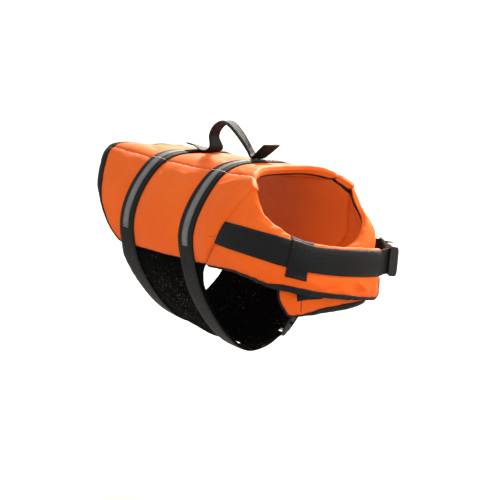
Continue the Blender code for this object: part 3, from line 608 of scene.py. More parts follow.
def nylon():
    """Orange coated nylon over foam: fine plain weave, matt, small tension marks."""
    m = Nodes("orange_nylon")
    uv, u, v = m.uv()
    ob = m.obj()
    broad = m.noise(ob, 16, 3, 0.5)
    mid = m.noise(ob, 90, 3, 0.55)
    col = m.ramp(m.span(broad, 0.3, 0.7, 0, 1), [(0.0, (0.600, 0.091, 0.0080)), (0.5, (0.635, 0.102, 0.0100)), (1.0, (0.665, 0.113, 0.0120))])
    # painted shade: the orange is mixed darker and deeper towards the bottom of the jacket
    z = m.n("ShaderNodeSeparateXYZ")
    m.link(ob, z.inputs[0])
    col = m.mix(m.span(z.outputs[2], -0.045, -0.100, 0.0, 0.60), col, (0.615, 0.074, 0.0040))
    # the plain weave
    wu = m.math("SINE", m.math("MULTIPLY", u, 2 * math.pi / 0.00062))
    wv = m.math("SINE", m.math("MULTIPLY", v, 2 * math.pi / 0.00062))
    weave = m.math("MULTIPLY", wu, wv)
    grain = m.math("MULTIPLY_ADD", weave, 0.5, 0.5)
    col = m.mix(m.math("MULTIPLY", grain, 0.14), col, (0.58, 0.066, 0.006))
    # painted shade: the orange is darkened along the seams and edges, where the cloth rolls into the grooves
    seam = m.attr("seam")
    col = m.mix(m.math("MULTIPLY", seam, 0.35, clamp=True), col, (0.50, 0.050, 0.004))
    m.link(col, m.b.inputs["Base Color"])
    rough = m.span(mid, 0.3, 0.7, 0.56, 0.70)
    m.link(rough, m.b.inputs["Roughness"])
    m.b.inputs["Specular IOR Level"].default_value = 0.09
    stretched = m.n("ShaderNodeMapping")
    stretched.inputs["Scale"].default_value = (1.0, 0.45, 1.0)
    m.link(uv, stretched.inputs[0])
    fine = m.noise(stretched.outputs[0], 260, 4, 0.6)
    n1 = m.bump(mid, 0.16, 0.0016)
    n2 = m.bump(fine, 0.22, 0.0006, n1)
    n3 = m.bump(weave, 0.30, 0.00009, n2)
    m.link(n3, m.b.inputs["Normal"])
    return m.mat


def specks(m, ob):
    """Scattered dust: fine light flecks, denser towards the belly."""
    z = m.n("ShaderNodeSeparateXYZ")
    m.link(ob, z.inputs[0])
    low = m.span(z.outputs[2], -0.085, -0.15, 0.0, 1.0)
    fleck = m.noise(ob, 620, 1, 0.4)
    some = m.noise(ob, 55, 2, 0.5)
    return m.math("MULTIPLY", m.math("MULTIPLY", m.span(fleck, 0.69, 0.75, 0, 1), m.span(some, 0.46, 0.62, 0, 1)), low)


def webbing(name, dark=(0.0035, 0.0036, 0.0040), light=(0.0160, 0.0162, 0.0172), pitch=0.00125, rib=0.0021, rough=0.66, wear_and_sheen=None):
    """Flat woven strap: cross ribs broken into herringbone columns, paler where the yarns crown."""
    m = Nodes(name)
    uv, u, v = m.uv()
    tri = m.math("PINGPONG", m.math("ADD", u, 0.1), rib)
    ph = m.math("MULTIPLY", m.math("ADD", v, m.math("MULTIPLY", tri, 0.62)), 2 * math.pi / pitch)
    ribs = m.math("MULTIPLY_ADD", m.math("SINE", ph), 0.5, 0.5)
    cols = m.math("ABSOLUTE", m.math("SINE", m.math("MULTIPLY", u, math.pi / rib)))
    yarn = m.math("MULTIPLY", m.math("POWER", ribs, 0.8), m.math("POWER", cols, 0.35))
    ob = m.obj()
    fuzz = m.noise(ob, 900, 2, 0.6)
    wear = m.noise(ob, 45, 4, 0.6)
    h = m.math("MULTIPLY_ADD", fuzz, 0.35, yarn)
    fac = m.math("MULTIPLY", m.math("MULTIPLY_ADD", wear, 0.9, 0.15), yarn)
    col = m.mix(fac, dark, light)
    # the grip colour flecks the yarn crowns paler and bluish: part wear, part painted sheen and sky reflection
    if wear_and_sheen:
        grip = m.mix(m.math("MULTIPLY", yarn, m.span(m.noise(ob, 420, 2, 0.7), 0.42, 0.60, 0.06, 1)), (0.0060, 0.0052, 0.0062), wear_and_sheen)
        col = m.mix(m.attr("grip"), col, grip)
    col = m.mix(specks(m, ob), col, (0.16, 0.15, 0.13))
    m.link(col, m.b.inputs["Base Color"])
    m.b.inputs["Roughness"].default_value = rough
    m.b.inputs["Specular IOR Level"].default_value = 0.10
    m.link(m.bump(h, 0.75, 0.00030), m.b.inputs["Normal"])
    return m.mat


def binding_tape():
    m = Nodes("black_binding")
    uv, u, v = m.uv()
    ph = m.math("SINE", m.math("MULTIPLY", v, 2 * math.pi / 0.0011))
    qh = m.math("SINE", m.math("MULTIPLY", u, 2 * math.pi / 0.0009))
    yarn = m.math("MULTIPLY_ADD", m.math("MULTIPLY", ph, qh), 0.5, 0.5)
    ob = m.obj()
    wear = m.noise(ob, 60, 4, 0.6)
    col = m.mix(m.math("MULTIPLY", wear, yarn), (0.0040, 0.0046, 0.0056), (0.0130, 0.0145, 0.0170))
    m.link(col, m.b.inputs["Base Color"])
    m.b.inputs["Roughness"].default_value = 0.68
    m.b.inputs["Specular IOR Level"].default_value = 0.10
    crumple = m.noise(ob, 330, 3, 0.6)
    n1 = m.bump(crumple, 0.35, 0.0007)
    m.link(m.bump(yarn, 0.6, 0.00022, n1), m.b.inputs["Normal"])
    return m.mat


def knit_mesh():
    """Black sports mesh: staggered round holes painted darker, as painted shade seen through them, with painted glints
    of yarn between them.
    """
    m = Nodes("black_mesh")
    uv, u, v = m.uv()
    px, py = 0.0030, 0.0026
    fu = m.math("FRACT", m.math("MULTIPLY", u, 1 / px))
    fv = m.math("FRACT", m.math("MULTIPLY", v, 1 / py))

    def dist(ou, ov):
        a = m.math("SUBTRACT", m.math("FRACT", m.math("ADD", fu, ou)), 0.5)
        b = m.math("SUBTRACT", m.math("FRACT", m.math("ADD", fv, ov)), 0.5)
        return m.math("SQRT", m.math("ADD", m.math("MULTIPLY", a, a), m.math("MULTIPLY", b, b)))
    d = m.math("MINIMUM", dist(0, 0), dist(0.5, 0.5))
    soft = m.span(d, 0.16, 0.42, 0, 1)
    ob = m.obj()
    glint = m.noise(ob, 480, 2, 0.5)
    spots = m.span(glint, 0.64, 0.72, 0, 1)
    patch = m.span(m.noise(ob, 34, 2, 0.5), 0.42, 0.62, 0, 1)
    lit = m.math("MULTIPLY", spots, patch)
    # painted shade in the holes, painted glints on the yarn
    col = m.mix(m.math("MULTIPLY", soft, 0.8), (0.0010, 0.0010, 0.0010), (0.0036, 0.0035, 0.0034))
    col = m.mix(lit, col, (0.13, 0.125, 0.115))
    m.link(col, m.b.inputs["Base Color"])
    m.b.inputs["Roughness"].default_value = 0.88
    m.b.inputs["Specular IOR Level"].default_value = 0.012
    h = m.math("MULTIPLY_ADD", m.noise(ob, 700, 2, 0.5), 0.3, soft)
    m.link(m.bump(h, 0.85, 0.0006), m.b.inputs["Normal"])
    return m.mat


def reflective():
    """Grey glass-bead tape with a fine diamond emboss."""
    m = Nodes("reflective_tape")
    uv, u, v = m.uv()
    a = m.math("SINE", m.math("MULTIPLY", m.math("ADD", u, v), 2 * math.pi / 0.0016))
    b = m.math("SINE", m.math("MULTIPLY", m.math("SUBTRACT", u, v), 2 * math.pi / 0.0016))
    dia = m.math("MULTIPLY_ADD", m.math("MULTIPLY", a, b), 0.5, 0.5)
    ob = m.obj()
    mott = m.noise(ob, 130, 4, 0.65)
    col = m.ramp(m.span(mott, 0.3, 0.7, 0, 1), [(0, (0.088, 0.085, 0.083)), (0.55, (0.114, 0.110, 0.108)), (1, (0.150, 0.146, 0.143))])
    col = m.mix(m.math("MULTIPLY", dia, 0.18), col, (0.09, 0.09, 0.095))
    m.link(col, m.b.inputs["Base Color"])
    m.b.inputs["Specular IOR Level"].default_value = 0.30
    m.b.inputs["Metallic"].default_value = 0.12
    m.link(m.span(mott, 0.3, 0.7, 0.36, 0.52), m.b.inputs["Roughness"])
    m.link(m.bump(dia, 0.4, 0.00008), m.b.inputs["Normal"])
    return m.mat


def plastic():
    m = Nodes("black_plastic")
    ob = m.obj()
    grain = m.noise(ob, 1500, 3, 0.6)
    scuff = m.noise(ob, 120, 4, 0.65)
    col = m.mix(m.span(scuff, 0.35, 0.75, 0, 1), (0.0042, 0.0040, 0.0038), (0.0095, 0.0090, 0.0086))
    m.link(col, m.b.inputs["Base Color"])
    m.link(m.span(scuff, 0.3, 0.7, 0.30, 0.44), m.b.inputs["Roughness"])
    m.b.inputs["Specular IOR Level"].default_value = 0.34
    m.link(m.bump(grain, 0.25, 0.00008), m.b.inputs["Normal"])
    return m.mat


def thread(name, colour, dark):
    m = Nodes(name)
    ob = m.obj()
    tw = m.noise(ob, 2500, 2, 0.5)
    col = m.mix(tw, dark, colour)
    m.link(col, m.b.inputs["Base Color"])
    m.b.inputs["Roughness"].default_value = 0.55
    m.b.inputs["Specular IOR Level"].default_value = 0.2
    m.link(m.bump(tw, 0.5, 0.0001), m.b.inputs["Normal"])
    return m.mat


M_NYLON = nylon()
M_WEB = webbing("black_webbing")
# the handle's grip colour: part wear, part painted sheen and sky reflection
M_HANDLE = webbing("handle_webbing", pitch=0.0019, rib=0.0026, wear_and_sheen=(0.044, 0.049, 0.060))
M_BIND = binding_tape()
M_MESH = knit_mesh()
M_TAPE = reflective()
M_PLASTIC = plastic()
M_THREAD = thread("pale_thread", (0.95, 0.72, 0.58), (0.86, 0.48, 0.33))
M_BLACK = thread("black_thread", (0.020, 0.020, 0.021), (0.006, 0.006, 0.006))

# =====================================================================================
# Padded body panels
# =====================================================================================
# creases: x0, arc0, x1, arc1 (mm; arc from the spine), bend, height, half width
CREASE_SIDE_R = [
    (18, 63, 46, 54, 1.5, 0.8, 1.8), (38, 66, 64, 56, -1.5, -0.8, 2.0), (56, 70, 73, 58, 1.0, 0.9, 1.8),
    (30, 72, 66, 66, 2.5, -0.6, 2.4), (50, 84, 72, 68, -1.5, 0.6, 2.2),
    (18, 62, 44, 55, 1.5, 0.9, 2.0), (20, 66, 40, 64, -1.5, -0.7, 1.8), (30, 73, 52, 62, 1.0, 0.8, 2.2),
    (34, 79, 58, 69, -1.0, -0.8, 2.4), (44, 86, 62, 76, 1.5, 0.6, 2.4), (52, 92, 66, 84, 0.5, -0.6, 2.2),
    (17, 100, 26, 118, 1.5, -0.6, 3.0), (24, 96, 33, 120, -1.0, 0.5, 3.2),
    (-88, 58, -74, 64, 1.0, -0.6, 2.2), (-60, 58, -40, 62, -1.2, 0.7, 2.4), (-38, 60, -18, 57, 1.2, -0.7, 2.0),
    (-30, 66, -15, 74, 1.0, 0.6, 2.4), (-52, 80, -46, 116, 2.5, -0.5, 5.0), (-30, 84, -24, 118, -2.0, 0.45, 4.0),
    (-84, 84, -78, 112, 1.6, 0.45, 4.5), (-70, 70, -66, 96, -2.0, -0.4, 5.0),
    (-168, 62, -140, 60, 1.0, 0.5, 3.0), (-150, 66, -124, 70, -1.5, -0.5, 3.0), (-172, 80, -158, 108, 2.5, -0.6, 5.0),
    (-140, 78, -132, 112, -2.0, 0.5, 5.0), (-128, 92, -122, 118, 1.0, -0.5, 3.0),
    (58, 70, 70, 78, -0.8, -0.5, 1.8), (8, 120, 24, 132, 0.5, 0.5, 2.4),
]
CREASE_SIDE_L = [
    (16, 60, 40, 56, -1.0, 0.8, 2.2), (24, 68, 48, 62, 1.5, -0.8, 2.2), (36, 78, 58, 66, -1.0, 0.7, 2.6),
    (50, 90, 64, 78, 0.8, -0.6, 2.4), (20, 98, 30, 122, -1.5, -0.6, 3.2),
    (-84, 60, -62, 57, 0.8, 0.6, 2.4), (-54, 62, -30, 58, 1.0, -0.7, 2.2), (-26, 70, -14, 82, -1.0, 0.5, 2.6),
    (-58, 82, -50, 118, -2.5, 0.5, 5.0), (-34, 78, -30, 110, 1.6, -0.5, 4.0), (-82, 90, -76, 118, 1.5, -0.45, 4.5),
    (-172, 64, -142, 58, -1.2, 0.5, 3.2), (-156, 78, -144, 110, 2.0, -0.6, 5.0), (-132, 70, -124, 96, -1.2, 0.5, 3.2),
]
CREASE_BACK = [
    (-60, 30, -20, 44, 2.0, 0.5, 3.5), (-86, -34, -40, -42, 2.0, -0.5, 3.5), (14, 30, 44, 46, 1.5, 0.6, 2.6),
    (16, -34, 46, -44, -1.5, 0.6, 2.6), (-160, 20, -128, 30, 1.5, -0.5, 4.0), (-175, -26, -140, -14, 2.0, 0.5, 4.0),
    (-50, 40, -28, 34, 1.0, -0.6, 2.4), (20, 10, 40, -6, 2.0, -0.4, 3.0), (-30, 22, -16, 30, 1.0, 0.5, 2.4),
]


def torso_pad(name, g0, g1, sign, crease, seed, replaces):
    l = arc_of(g0) + (arc_of(g1) - arc_of(g0)) * dense_ends(74 if g0 > 0 else 84)
    g = g_of(l)
    g[0], g[-1] = g0, g1
    t = dense_ends(196)
    xr, xf = x_rear(g), x_front(g)
    X = xr[:, None] + (xf - xr)[:, None] * t[None]
    G = np.repeat(g[:, None], X.shape[1], 1)
    P, N = torso_n(X, G * sign)
    L = np.repeat(l[:, None], X.shape[1], 1)
    top, low, rear, front = edge_lengths(P)
    if g0 < 0:
        seam_d = np.minimum(top, low)
        hem_d = np.full_like(top, 1.0)
    else:
        seam_d, hem_d = top, low
    dr = np.maximum(np.abs(X - STRAP_X["rear"]) - WEB_W / 2, 0)
    df = np.maximum(np.abs(X - STRAP_X["front"]) - WEB_W / 2, 0)
    on = np.minimum(dr, df) <= 0
    A = np.abs(G)
    neck = A < 1.45
    puff = 0.0024 if g0 > 0 else 0.0010
    h = puff * swell(dr, 0.009) * swell(df, 0.009) * swell(seam_d, 0.008) * swell(np.minimum(rear, front), 0.010) * swell(hem_d, 0.010)
    h = h * 1.25
    # seams, hem, bound rear edge and front edge
    h += roll(seam_d, 0.0012 if g0 > 0 else 0.0007, 0.0050 if g0 > 0 else 0.0026) * np.where(on, 0.45, 1.0)
    h += roll(hem_d, 0.0026, 0.0085) * np.where(on, 0.5, 1.0)
    curl = 1 - ease((A - 0.85) / 0.5)
    h += roll(rear, 0.0008, 0.0045) - 0.0018 * curl * (1 - ease(rear / 0.018)) ** 1.5
    fold_depth = np.where(neck, 0.0030, 0.0008 + 0.0038 * ease((A - 2.1) / 1.6) ** 1.3)
    fold_reach = np.where(neck, 0.0040, 0.0115)
    h += roll(front, fold_depth, fold_reach)
    live = swell(np.minimum(dr, df), 0.004)
    h += pucker(X, seam_d, 0.00030, 0.0088, 0.0075, seed) * live
    h += pucker(X, hem_d, 0.00030, 0.0110, 0.0090, seed + 1) * live
    h += pucker(L, dr, 0.00022, 0.0105, 0.0080, seed + 2) * swell(dr, 0.003)
    h += pucker(L, df, 0.00024, 0.0098, 0.0080, seed + 3) * swell(df, 0.003)
    h += pucker(L, rear, 0.00040, 0.0095, 0.0090, seed + 4)
    h += pucker(L, front, 0.00045, 0.0100, 0.0100, seed + 5) * np.where(neck, 0.4, 1.0)
    h += undulate(X, L, 0.00042, 0.045, seed + 6) * live
    h += undulate(X, L, 0.00016, 0.018, seed + 7) * live
    h += creases(X, L, crease) * live
    h = np.where(on, np.minimum(h, 0.0001), h)
    # the rear of the back hangs a little lower on the left
    sag = 0.0048 * ease((-0.128 - X) / 0.050) * ease((-G * sign - 0.15) / 0.45) * (1 - ease((A - 1.0) / 0.8))
    h -= sag
    # inner face
    edge = np.minimum(np.minimum(seam_d, hem_d), np.minimum(rear, front))
    k = roll(np.minimum(seam_d, hem_d), 0.0036, 0.0080) + roll(rear, 0.0040, 0.0090)
    k += roll(front, np.where(neck, 0.0034, 0.0030), np.where(neck, 0.0042, 0.0090))
    k += undulate(X, L, 0.00035, 0.05, seed + 8)
    if sign < 0:
        # the left chest strap presses the pad where it is sewn down
        box = ease((X - 0.008) / 0.006) * ease((0.048 - X) / 0.006) * ease((A - 2.55) / 0.2) * ease((3.85 - A) / 0.2)
        h = h * (1 - box) + np.minimum(h, 0.0) * box
    k += 0.0018 * curl * (1 - ease(rear / 0.018)) ** 1.5 + sag
    depth = np.maximum(PAD_T + k, 0.0012 - np.minimum(h, 0))
    inner = P - N * depth[..., None]
    outer = P + N * h[..., None]
    uv = np.stack([X, L * sign], -1)
    # painted shade mask: near 1 at the seams, hem and edges, where the nylon darkens the orange
    seam = np.exp(-np.minimum(np.minimum(seam_d, hem_d), np.minimum(rear, front)) / 0.0016)
    ob = pad_mesh(name, outer, inner, uv, attrs={"seam": seam})
    keep(ob, M_NYLON, replaces)
    return {"P": P, "N": N, "h": h, "outer": outer, "inner": inner, "X": X, "G": G, "L": L}


back = torso_pad("back_pad", -0.998, 0.998, 1, CREASE_BACK, 11, ["back_panel"])
side_r = torso_pad("side_pad_right", 1.002, 3.996, 1, CREASE_SIDE_R, 23, ["side_panel_right"])
side_l = torso_pad("side_pad_left", 1.002, 3.996, -1, CREASE_SIDE_L, 37, ["side_panel_left"])

# =====================================================================================
# Chest flaps
# =====================================================================================
# s0, v0, s1, v1 as metric mm along the flap: along, down from the neck edge
CREASE_FLAP_R = [
    (8, 40, 40, 46, 2.0, 0.7, 3.0), (14, 52, 60, 49, -2.0, -0.8, 2.6), (48, 44, 78, 50, 1.5, 0.7, 2.6),
    (90, 40, 112, 46, 1.5, -0.8, 2.6), (112, 38, 140, 44, -1.0, 0.8, 3.0), (128, 46, 158, 40, 2.0, -0.7, 2.4),
    (150, 36, 170, 46, 2.0, 0.7, 3.0), (168, 33, 198, 44, 1.2, 1.3, 1.7), (164, 38, 194, 49, 1.0, -1.5, 3.2), (176, 32, 204, 38, 0.5, -0.8, 2.2), (6, 8, 22, 16, 1.0, -0.7, 3.0),
    (22, 14, 40, 8, 1.0, 0.6, 2.4), (60, 48, 100, 52, -1.0, 0.6, 2.4),
]
CREASE_FLAP_L = [
    (10, 44, 44, 50, 2.0, 0.7, 3.2), (30, 54, 70, 50, -2.0, -0.7, 3.0), (70, 44, 100, 52, 2.0, 0.7, 3.0),
    (104, 42, 128, 50, 1.5, -0.8, 2.8), (120, 48, 150, 40, -1.5, 0.8, 3.0), (6, 10, 26, 18, 1.0, -0.7, 3.0),
    (140, 36, 150, 56, 1.0, -0.6, 3.0), (126, 34, 138, 54, 1.5, 0.6, 3.0), (112, 34, 124, 46, -1.5, -0.6, 2.6),
]


def flap_pad(name, side, s_end, crease, seed, replaces):
    vl = np.interp(np.linspace(0, 1, 62), [0, 0.22, 0.60, 1.0], [0, 1, 2, 3])
    vl = np.unique(np.r_[vl, 1.0, 2.0])
    S = s_end * dense_ends(214, 0.05)
    SS, VV = np.meshgrid(S, vl, indexing="ij")
    P, N = flap_n(side, SS, VV)
    root, end, neck, low = edge_lengths(P)
    j1, j2 = int(np.argmin(abs(vl - 1))), int(np.argmin(abs(vl - 2)))
    up = np.maximum(neck[:, j1:j1 + 1] - neck, 0)
    dn = np.maximum(neck - neck[:, j2:j2 + 1], 0)
    strap = side < 0
    ds = np.where(neck < neck[:, j1:j1 + 1], up, dn)
    on = (ds <= 1e-6) if strap else np.zeros_like(ds, bool)
    A = root + 0 * neck
    if strap:
        h = 0.0026 * swell(dn, 0.007) * swell(low, 0.008) * swell(end, 0.008) * swell(root, 0.010)
        h += 0.0012 * swell(up, 0.005) * swell(root, 0.010) * swell(end, 0.008)
    else:
        h = 0.0020 * swell(low, 0.012) * swell(neck, 0.010) * swell(end, 0.010) * swell(root, 0.010)
    live = swell(ds, 0.004) if strap else np.ones_like(ds)
    h += roll(neck, 0.0028 if strap else 0.0034, 0.0034 if strap else 0.0062)
    h += roll(low, 0.0018, 0.0070)
    h += roll(end, 0.0020 if strap else 0.0026, 0.0075)
    h += roll(root, 0.0006 + 0.0034 * ease((VV - 0.8) / 2.0) ** 1.3, 0.0100)
    h += pucker(A, low, 0.00050, 0.0105, 0.0100, seed) * live
    h += pucker(neck, end, 0.00040, 0.0100, 0.0100, seed + 1) * live
    h += pucker(A, neck, 0.00030, 0.0120, 0.0080, seed + 2) * live * 0.8
    if strap:
        h += pucker(A, dn, 0.00035, 0.0125, 0.0070, seed + 3) * live
    h += undulate(A, neck, 0.00042, 0.040, seed + 4) * live
    h += undulate(A, neck, 0.00016, 0.016, seed + 5) * live
    h += creases(A, neck, crease) * live
    if strap:
        h = np.where(on, np.minimum(h, 0.0001), h)
    else:
        # the part under the right flap is pressed flat
        under = ease((SS - 4.3) / 0.5) * ease((2.25 - VV) / 0.25)
        h = h * (1 - under) + np.minimum(h, -0.0001) * under
    k = roll(neck, 0.0023, 0.0034) + roll(low, 0.0018, 0.0070) + roll(end, 0.0018 if strap else 0.0025, 0.0070) + roll(root, 0.0016, 0.0080)
    k += undulate(A, neck, 0.00025, 0.045, seed + 6)
    if strap:
        k = np.minimum(k, 0.0001)
    depth = np.maximum(FLAP_T + k, 0.0011 - np.minimum(h, 0))
    outer, inner = P + N * h[..., None], P - N * depth[..., None]
    uv = np.stack([A, neck], -1)
    # painted shade mask: near 1 at the lower edge, end and root, where the nylon darkens the orange
    seam = np.exp(-np.minimum(np.minimum(low, end), root) / 0.0016)
    ob = pad_mesh(name, outer, inner, uv, bulge=0.5, attrs={"seam": seam})
    keep(ob, M_NYLON, replaces)
    return {"P": P, "N": N, "h": h, "outer": outer, "inner": inner, "S": S, "V": vl, "A": A, "B": neck, "j": (j1, j2)}


flap_r = flap_pad("chest_pad_right", -1, 9.0, CREASE_FLAP_R, 51, ["chest_flap_right"])
flap_l = flap_pad("chest_pad_left", 1, 8.0, CREASE_FLAP_L, 67, ["chest_flap_left"])


# =====================================================================================
# Belly mesh wings
# =====================================================================================
MESH_REAR_X = -0.1225


def wing(name, sign, seed, replaces):
    l = np.linspace(arc_of(3.985), arc_of(5.945), 90)
    g = g_of(l)
    xf = rows_at(MESH_FRONT[:, 0], MESH_FRONT[:, 1:], g)[..., 0] * MM
    t = dense_ends(120, 0.04)
    X = MESH_REAR_X + (xf - MESH_REAR_X)[:, None] * t[None]
    G = np.repeat(g[:, None], X.shape[1], 1)
    P, N = torso_n(X, G * sign)
    L = np.repeat(l[:, None], X.shape[1], 1)
    top, low, rear, front = edge_lengths(P)
    dr = np.maximum(np.abs(X - STRAP_X["rear"]) - WEB_W / 2, 0)
    df = np.maximum(np.abs(X - STRAP_X["front"]) - WEB_W / 2, 0)
    live = swell(np.minimum(dr, df), 0.006)
    h = 0.0009 * swell(dr, 0.012) * swell(df, 0.012) + pucker(X, top, 0.0007, 0.013, 0.014, seed) * live
    h += undulate(X, L, 0.0007, 0.035, seed + 1) * live + undulate(X, L, 0.0003, 0.014, seed + 2) * live
    h += pucker(L, dr, 0.0005, 0.012, 0.010, seed + 3) * swell(dr, 0.003)
    h += pucker(L, df, 0.0005, 0.013, 0.010, seed + 4) * swell(df, 0.003)
    h = h * swell(top, 0.006) - 0.0030 * np.exp(-top / 0.0045)
    ob = pad_mesh(name, P + N * h[..., None], P + N * (h - 0.0013)[..., None], np.stack([X, L * sign], -1))
    keep(ob, M_MESH, replaces)
    return {"P": P, "N": N, "h": h, "X": X, "G": G, "L": L, "xf": xf, "g": g}


wing_r = wing("mesh_wing_right", 1, 81, ["belly_mesh_right"])
wing_l = wing("mesh_wing_left", -1, 93, ["belly_mesh_left"])

# =====================================================================================
# Girth straps and tapes
# =====================================================================================
rng = np.random.default_rng(5)
black_spots, pale_spots = [], []


def buckle_seat(x0):
    length = BUCKLE["plug_to"]
    lo, hi = 0.0, 0.6
    for _ in range(40):
        dg = 0.5 * (lo + hi)
        a, b = torso(np.array([x0, x0]), -BELLY_BUCKLE_G + np.array([-dg, dg]))
        lo, hi = (dg, hi) if np.linalg.norm(b - a) < length + 0.0012 else (lo, dg)
    gs = np.linspace(-BELLY_BUCKLE_G - dg, -BELLY_BUCKLE_G + dg, 21)
    pts = torso(np.full(21, x0), gs)
    a, b = Vector(pts[0]), Vector(pts[-1])
    along = (b - a).normalized()
    out = Vector((1, 0, 0)).cross(along).normalized()
    if out.z > 0:
        out = -out
    bulge = max((Vector(q) - a).dot(out) for q in pts)
    stand = bulge + BUCKLE["socket_t"] / 2 + 0.0008
    m = Matrix((along, out.cross(along), out)).transposed().to_4x4()
    m.translation = a + out * stand + along * 0.0006
    return gs[0], gs[-1], stand, m


SEATS = {key: buckle_seat(x0) for key, x0 in STRAP_X.items()}


def belt(x0, width, gs, lift, cols=7):
    gg, xx = np.meshgrid(gs, np.linspace(x0 - width / 2, x0 + width / 2, cols), indexing="ij")
    p, n = torso_n(xx, wrap(gg))
    return p + n * np.asarray(lift)[:, None, None], n


for key, x0 in STRAP_X.items():
    g_sock, g_plug, stand, m = SEATS[key]
    # stations round the body: from the plug, over the back, to the socket
    lt = arc_of(6.0)
    l0, l1 = arc_of(g_plug + 0.05), 2 * lt + arc_of(g_sock - 0.05)
    q = np.linspace(l0, l1, int((l1 - l0) / 0.0021))
    gs = np.where(q > lt, 12 - g_of(np.minimum(2 * lt - q, lt)), g_of(np.clip(q, -lt, lt)))
    mid = torso(np.full(len(gs), x0), wrap(gs))
    d = np.r_[0, np.cumsum(np.linalg.norm(np.diff(mid, axis=0), axis=1))]
    far = np.minimum(d, d[-1] - d)
    lift = 0.0003 + 0.62 * (stand - WEB_T / 2) * (1 - ease(far / 0.030))
    # rests on the pads
    P, Nn = belt(x0, WEB_W, gs, lift)
    ends = []
    for q_ in (BUCKLE["plug_to"] - 0.001, 0.001):
        c = np.array(m.translation + m.col[0].to_3d() * q_ - m.col[2].to_3d() * (WEB_T / 2))
        ends.append((c + np.linspace(-WEB_W / 2, WEB_W / 2, 7)[:, None] * np.array([1.0, 0, 0]), np.repeat(np.array(m.col[2].to_3d())[None], 7, 0)))
    P = np.concatenate([ends[0][0][None], P, ends[1][0][None]])
    Nn = np.concatenate([ends[0][1][None], Nn, ends[1][1][None]])
    mid, P, Nn = resample(P[:, 3], 0.0021, P.reshape(len(P), -1), Nn.reshape(len(Nn), -1))
    P, Nn = P.reshape(len(P), 7, 3), Nn.reshape(len(Nn), 7, 3)
    ob = laid("girth_webbing_" + key, P, Nn, 0.0, WEB_T)
    keep(ob, M_WEB, ["girth_strap_" + key])
    # the tape
    ge = TAPE_END_G[key]
    gt = g_of(np.linspace(arc_of(-ge), arc_of(ge), 170))
    P, Nn = belt(x0, TAPE_W, gt, np.full(len(gt), 0.0003 + WEB_T), 5)
    ob = laid("silver_tape_" + key, P, Nn, 0.0, 0.00055, 0.2)
    keep(ob, M_TAPE, ["reflective_tape_" + key])
    # stitching along both edges of the tape and across its ends
    for dx in (-TAPE_W / 2 + 0.0009, TAPE_W / 2 - 0.0009):
        p, n = torso_n(np.full(len(gt), x0 + dx), gt)
        black_spots += stitch_line(p + n * (0.0003 + WEB_T + 0.00062), n, 0.0030, 0.0023, rng)
    for s in (-1, 1):
        for back_l in (0.0016, 0.0034):
            ga = g_of(np.array([s * (arc_of(ge) - back_l)]))
            xs = np.linspace(x0 - TAPE_W / 2 + 0.001, x0 + TAPE_W / 2 - 0.001, 5)
            p, n = torso_n(xs, np.full(5, ga[0]))
            black_spots.extend(stitch_line(p + n * (0.0003 + WEB_T + 0.0007), n, 0.0021, 0.0018, rng))

# =====================================================================================
# Finding the displaced cloth faces, to lay things on them
# =====================================================================================
class Skin:
    def __init__(self, *grids):
        verts, quads, base = [], [], 0
        for g in grids:
            n, m = g.shape[:2]
            verts += g.reshape(-1, 3).tolist()
            quads += grid_quads(n, m, base).tolist()
            base += n * m
        self.tree = BVHTree.FromPolygons(verts, quads)

    def drop(self, points, normals, off=0.0, reach=0.012):
        """Points moved along their normals onto the face, then off it by off."""
        p, n = np.asarray(points, float), np.asarray(normals, float)
        shape = p.shape
        p, n = p.reshape(-1, 3), n.reshape(-1, 3)
        off = np.broadcast_to(np.asarray(off, float), shape[:-1]).ravel()
        out = np.empty_like(p)
        for k in range(len(p)):
            hit = self.tree.ray_cast(Vector(p[k] + n[k] * reach), Vector(-n[k]), 2 * reach)[0]
            out[k] = (np.array(hit) if hit is not None else p[k]) + n[k] * off[k]
        return out.reshape(shape)


def smooth_rows(a, n=2, times=1):
    """Moving average along the first axis; the ends stay."""
    for _ in range(times):
        c = np.concatenate([np.repeat(a[:1], n, 0), a, np.repeat(a[-1:], n, 0)])
        a2 = sum(c[k:k + len(a)] for k in range(2 * n + 1)) / (2 * n + 1)
        a2[0], a2[-1] = a[0], a[-1]
        a = a2
    return a


OUT = Skin(back["outer"], side_r["outer"], side_l["outer"])
INN = Skin(back["inner"], side_r["inner"], side_l["inner"])
FR_OUT, FR_INN = Skin(flap_r["outer"]), Skin(flap_r["inner"])
FL_OUT, FL_INN = Skin(flap_l["outer"]), Skin(flap_l["inner"])


def smooth_path(points, per=8):
    p = np.asarray(points, float)
    k = np.arange(len(p))
    return rows_at(k, p, np.linspace(0, len(p) - 1, (len(p) - 1) * per + 1))


# =====================================================================================
# Edge bindings: a folded tape round the edge of a pad
# =====================================================================================
BIND_EDGE_LINES = {}


